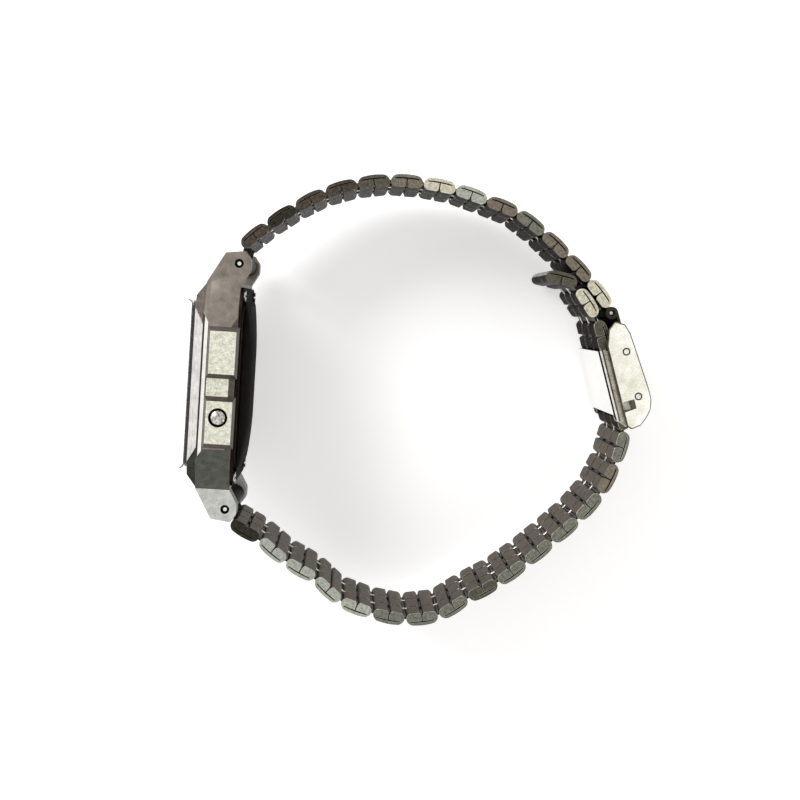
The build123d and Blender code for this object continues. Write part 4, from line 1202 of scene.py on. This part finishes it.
# %% Links of both halves
UPPER_END_LIGHT = "umber black umber umber olive grey cream sage grey moss grey grey cream".split()
LOWER_END_LIGHT = "black sage sage sage sage moss moss moss olive moss moss moss moss grey moss".split()


def hang_half(half, end_lights, last_hinge, outward, pale_rims, curls):
    """Hang the links of one half, from the case to the clasp, each with its own tone of painted light on
    its ends.
    """
    nodes = [f"{half}_link_{number:02d}" for number in range(1, len(end_lights) + 1)]
    hinges = [node + "_hinge" for node in nodes] + [last_hinge]
    for node, end_light, hinge, next_hinge in zip(nodes, end_lights, hinges, hinges[1:]):
        first = pivot(hinge)
        rim = strip_rim_painted_highlight if end_light in pale_rims else strip_rim
        piece = link_piece(node + "_folded", first, heading_of(node, first), pivot(next_hinge), outward,
                           end_light, rim, curls)
        settle(piece, node)


hang_half("upper", UPPER_END_LIGHT, "upper_clasp_link_hinge", 1, ("cream", "sage"), curls_painted_shade)
hang_half("lower", LOWER_END_LIGHT, "clasp_slider_hinge", -1, ("sage", "moss", "olive"), curls_lower_painted_light)

# %% Links inside and beyond the clasp
CLAMPED = 3
CLAMPED_PITCH = EYE_SPAN + 2.87
run = direction(CLASP_HEADING)
held = []
for number in range(CLAMPED):
    first = pivot("clasp_slider_hinge") + run * CLAMPED_PITCH * number
    after = first + run * CLAMPED_PITCH if number < CLAMPED - 1 else pivot("tail_link_1_hinge")
    held.append(link_piece("held", first, CLASP_HEADING, after, -1, "olive", strip_rim_painted_highlight))
settle(joined(held, "clamped_links_folded"), "clamped_links")
first = pivot("tail_link_1_hinge")
after = pivot("tail_link_2_hinge")
tail = link_piece("tail_link_1_folded", first, heading_of("tail_link_1", first), after, -1, "cream",
                  strip_rim_painted_highlight)
settle(tail, "tail_link_1")
settle(link_piece("tail_link_2_folded", after, TAIL_HEADING, None, -1, "olive"), "tail_link_2")
for used in (sheet, *strips.values(), *cores.values(), rod, stroke):
    bpy.data.objects.remove(used)

# %% [markdown]
# ## End pieces
# The bracelet's first pieces are rolled tubes on the spring bars. They sit deep between the lugs, where the
# light hardly reaches, so they are finished as dark as the curls. The upper half's last tube, inside the
# clasp, is as dark.

# %% Dress the end pieces
TUBE_EDGE = 0.05
for node in ("upper_end_piece", "lower_end_piece", "upper_clasp_link"):
    dress(node, TUBE_EDGE, curls_painted_shade, (ENDS["black"], lambda place, normal: abs(normal.z) > SQUARE_ON))

# %% [markdown]
# ## The clasp
# The cover is a stamped steel shell. Its side walls were satin brushed and are the palest part of the
# watch. The blade, the slider and the lock flap are thinner sheets, seen from the side as a stack of fine
# lines; on the flap's side these are painted bands, painted shade between the sheets and a painted
# highlight on an edge. Pins are riveted through the walls, and a dark ring lies around each pin's end.

# %% Clasp steels
cover_satin = steel("cover_satin", (212, 208, 186), (252, 250, 244), 0.36, 0.18, depth=0.006, mottle=1.6,
                    metallic=0.6)
cover_plate = steel("cover_plate", (150, 144, 134), (206, 200, 190), 0.28, 0.06, (1, 22, 1), 0.003)
sheet_edge = steel("sheet_edge", (120, 116, 104), (196, 190, 174), 0.26, 0.12, mottle=0.6)
sheet_gap_painted_shade = steel("sheet_gap_painted_shade", (20, 18, 16), (52, 46, 42), 0.3, 0.12)
edge_painted_dark = steel("edge_painted_dark", (52, 46, 40), (104, 96, 84), 0.3, 0.12, mottle=0.6)
pale_steel_and_highlight = steel("pale_steel_and_highlight", (196, 192, 180), (248, 246, 238), 0.24, 0.2, depth=0.003)
polished = steel("polished_plate", (226, 224, 220), (250, 249, 246), 0.08, 0.3, (1, 8, 1), 0.001)

# %% Dress the cover
COVER_HALF = 10.1
WALL_INSIDE = 9.4
COVER_EDGE = 0.16
PIN_AWAY = (-0.13, 6.37)
HOLE_AWAY = (-1.15, -0.58)
MARK_ROUND = 0.95
WALL_FLAT = 0.97
COVER_ANGLE = 40
outward = direction(CLASP_HEADING - 90)
cover_pin = pivot("cover_fold")


def on_clasp(out, along):
    """A place on the clasp, counted from the cover's pin outward from the wrist and along the clasp."""
    return cover_pin + outward * out + run * along


PIN_ENDS = (cover_pin, on_clasp(*PIN_AWAY))
WALL_MARKS = PIN_ENDS + (on_clasp(*HOLE_AWAY),)


def wall(place, normal):
    return abs(normal.z) > WALL_FLAT and abs(place.z) > WALL_INSIDE


def wall_edge(place, normal):
    """The rounded edge of a side wall, painted dark as a painted reflection of the dark room."""
    return 0.1 < abs(normal.z) <= WALL_FLAT and abs(place.z) > WALL_INSIDE


def wall_outline(place):
    """True on the outline of a side wall, and not at its pins or its square hole."""
    near = min((place.to_2d() - mark).length for mark in WALL_MARKS)
    return abs(place.z) > COVER_HALF - NEAR and near > MARK_ROUND


cover = merged("clasp_cover")
rounded = pick_sharp(cover, COVER_ANGLE, wall_outline)
bpy.ops.mesh.bevel(offset=COVER_EDGE, segments=3, clamp_overlap=False)
done()
smoothed(cover)
print("cover edges", rounded)
paint(cover, cover_plate, (cover_satin, wall), (edge_painted_dark, wall_edge))
settle(cover, "clasp_cover")

# %% Dress the slider, the blade and the flap
CLASP_EDGE = 0.03
FLAP_EDGE = 0.04
FLAP_LINES = (0.26, 0.5, 0.74)
dress("clasp_slider", CLASP_EDGE, sheet_edge)
dress("fold_blade", CLASP_EDGE, sheet_edge, (pale_steel_and_highlight, wall))
flap = dressed("lock_flap", FLAP_EDGE)
out_way = outward.to_3d()
flap_low = min(point.co.dot(out_way) for point in flap.data.vertices)
for depth in FLAP_LINES:
    cut(flap, out_way * (flap_low + depth), out_way)


def flap_line(low, high):
    """A rule for a fine line along the near side of the flap, between two depths from its wrist side."""
    return lambda place, normal: abs(normal.z) > 0.6 and low <= place.dot(out_way) - flap_low < high


def wrist_face(place, normal):
    return normal.dot(out_way) < -0.7


dark_end, bright_end, grey_end = FLAP_LINES
# The flap's near side is painted in bands that stand for the edges of the stacked sheets: painted shade for
# the dark bands and a painted highlight for the light one.
paint(flap, sheet_edge, (polished, wrist_face), (sheet_gap_painted_shade, flap_line(-1, dark_end)),
      (pale_steel_and_highlight, flap_line(dark_end, bright_end)), (edge_painted_dark, flap_line(bright_end, grey_end)))
settle(flap, "lock_flap")

# %% Dark rings around the pin ends
RING_ROUND = 0.45
RING_LINE = 0.12
RING_RISE = 0.4
RING_SMOOTH = 60
rings = []
for centre in PIN_ENDS:
    for side in (-1, 1):
        bpy.ops.mesh.primitive_torus_add(major_radius=RING_ROUND, minor_radius=RING_LINE, major_segments=36,
                                         minor_segments=8)
        ring = bpy.context.object
        place = (*centre, side * (COVER_HALF - RING_LINE * RING_RISE / 2))
        ring.data.transform(Matrix.Translation(place) @ Matrix.Scale(RING_RISE, 4, (0, 0, 1)))
        rings.append(ring)
rings = joined(rings, "pin_rings")
paint(rings, plastic("ring_dark", (4, 4, 3), (14, 13, 12), 0.8, 0.1, 0.002))
smoothed(rings, RING_SMOOTH)
settle(rings, "clasp_cover", stands_for=False)

# %% [markdown]
# ## The size at the end
# The dressed watch has to stay as large as the measured one, so both boxes are printed.

# %% Write both boxes and finish
shown_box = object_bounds()
for which, (low, high) in (("cad", cad_box), ("visual", shown_box)):
    print(which, [round((b - a) / MM, 2) for a, b in zip(low, high)], "mm")
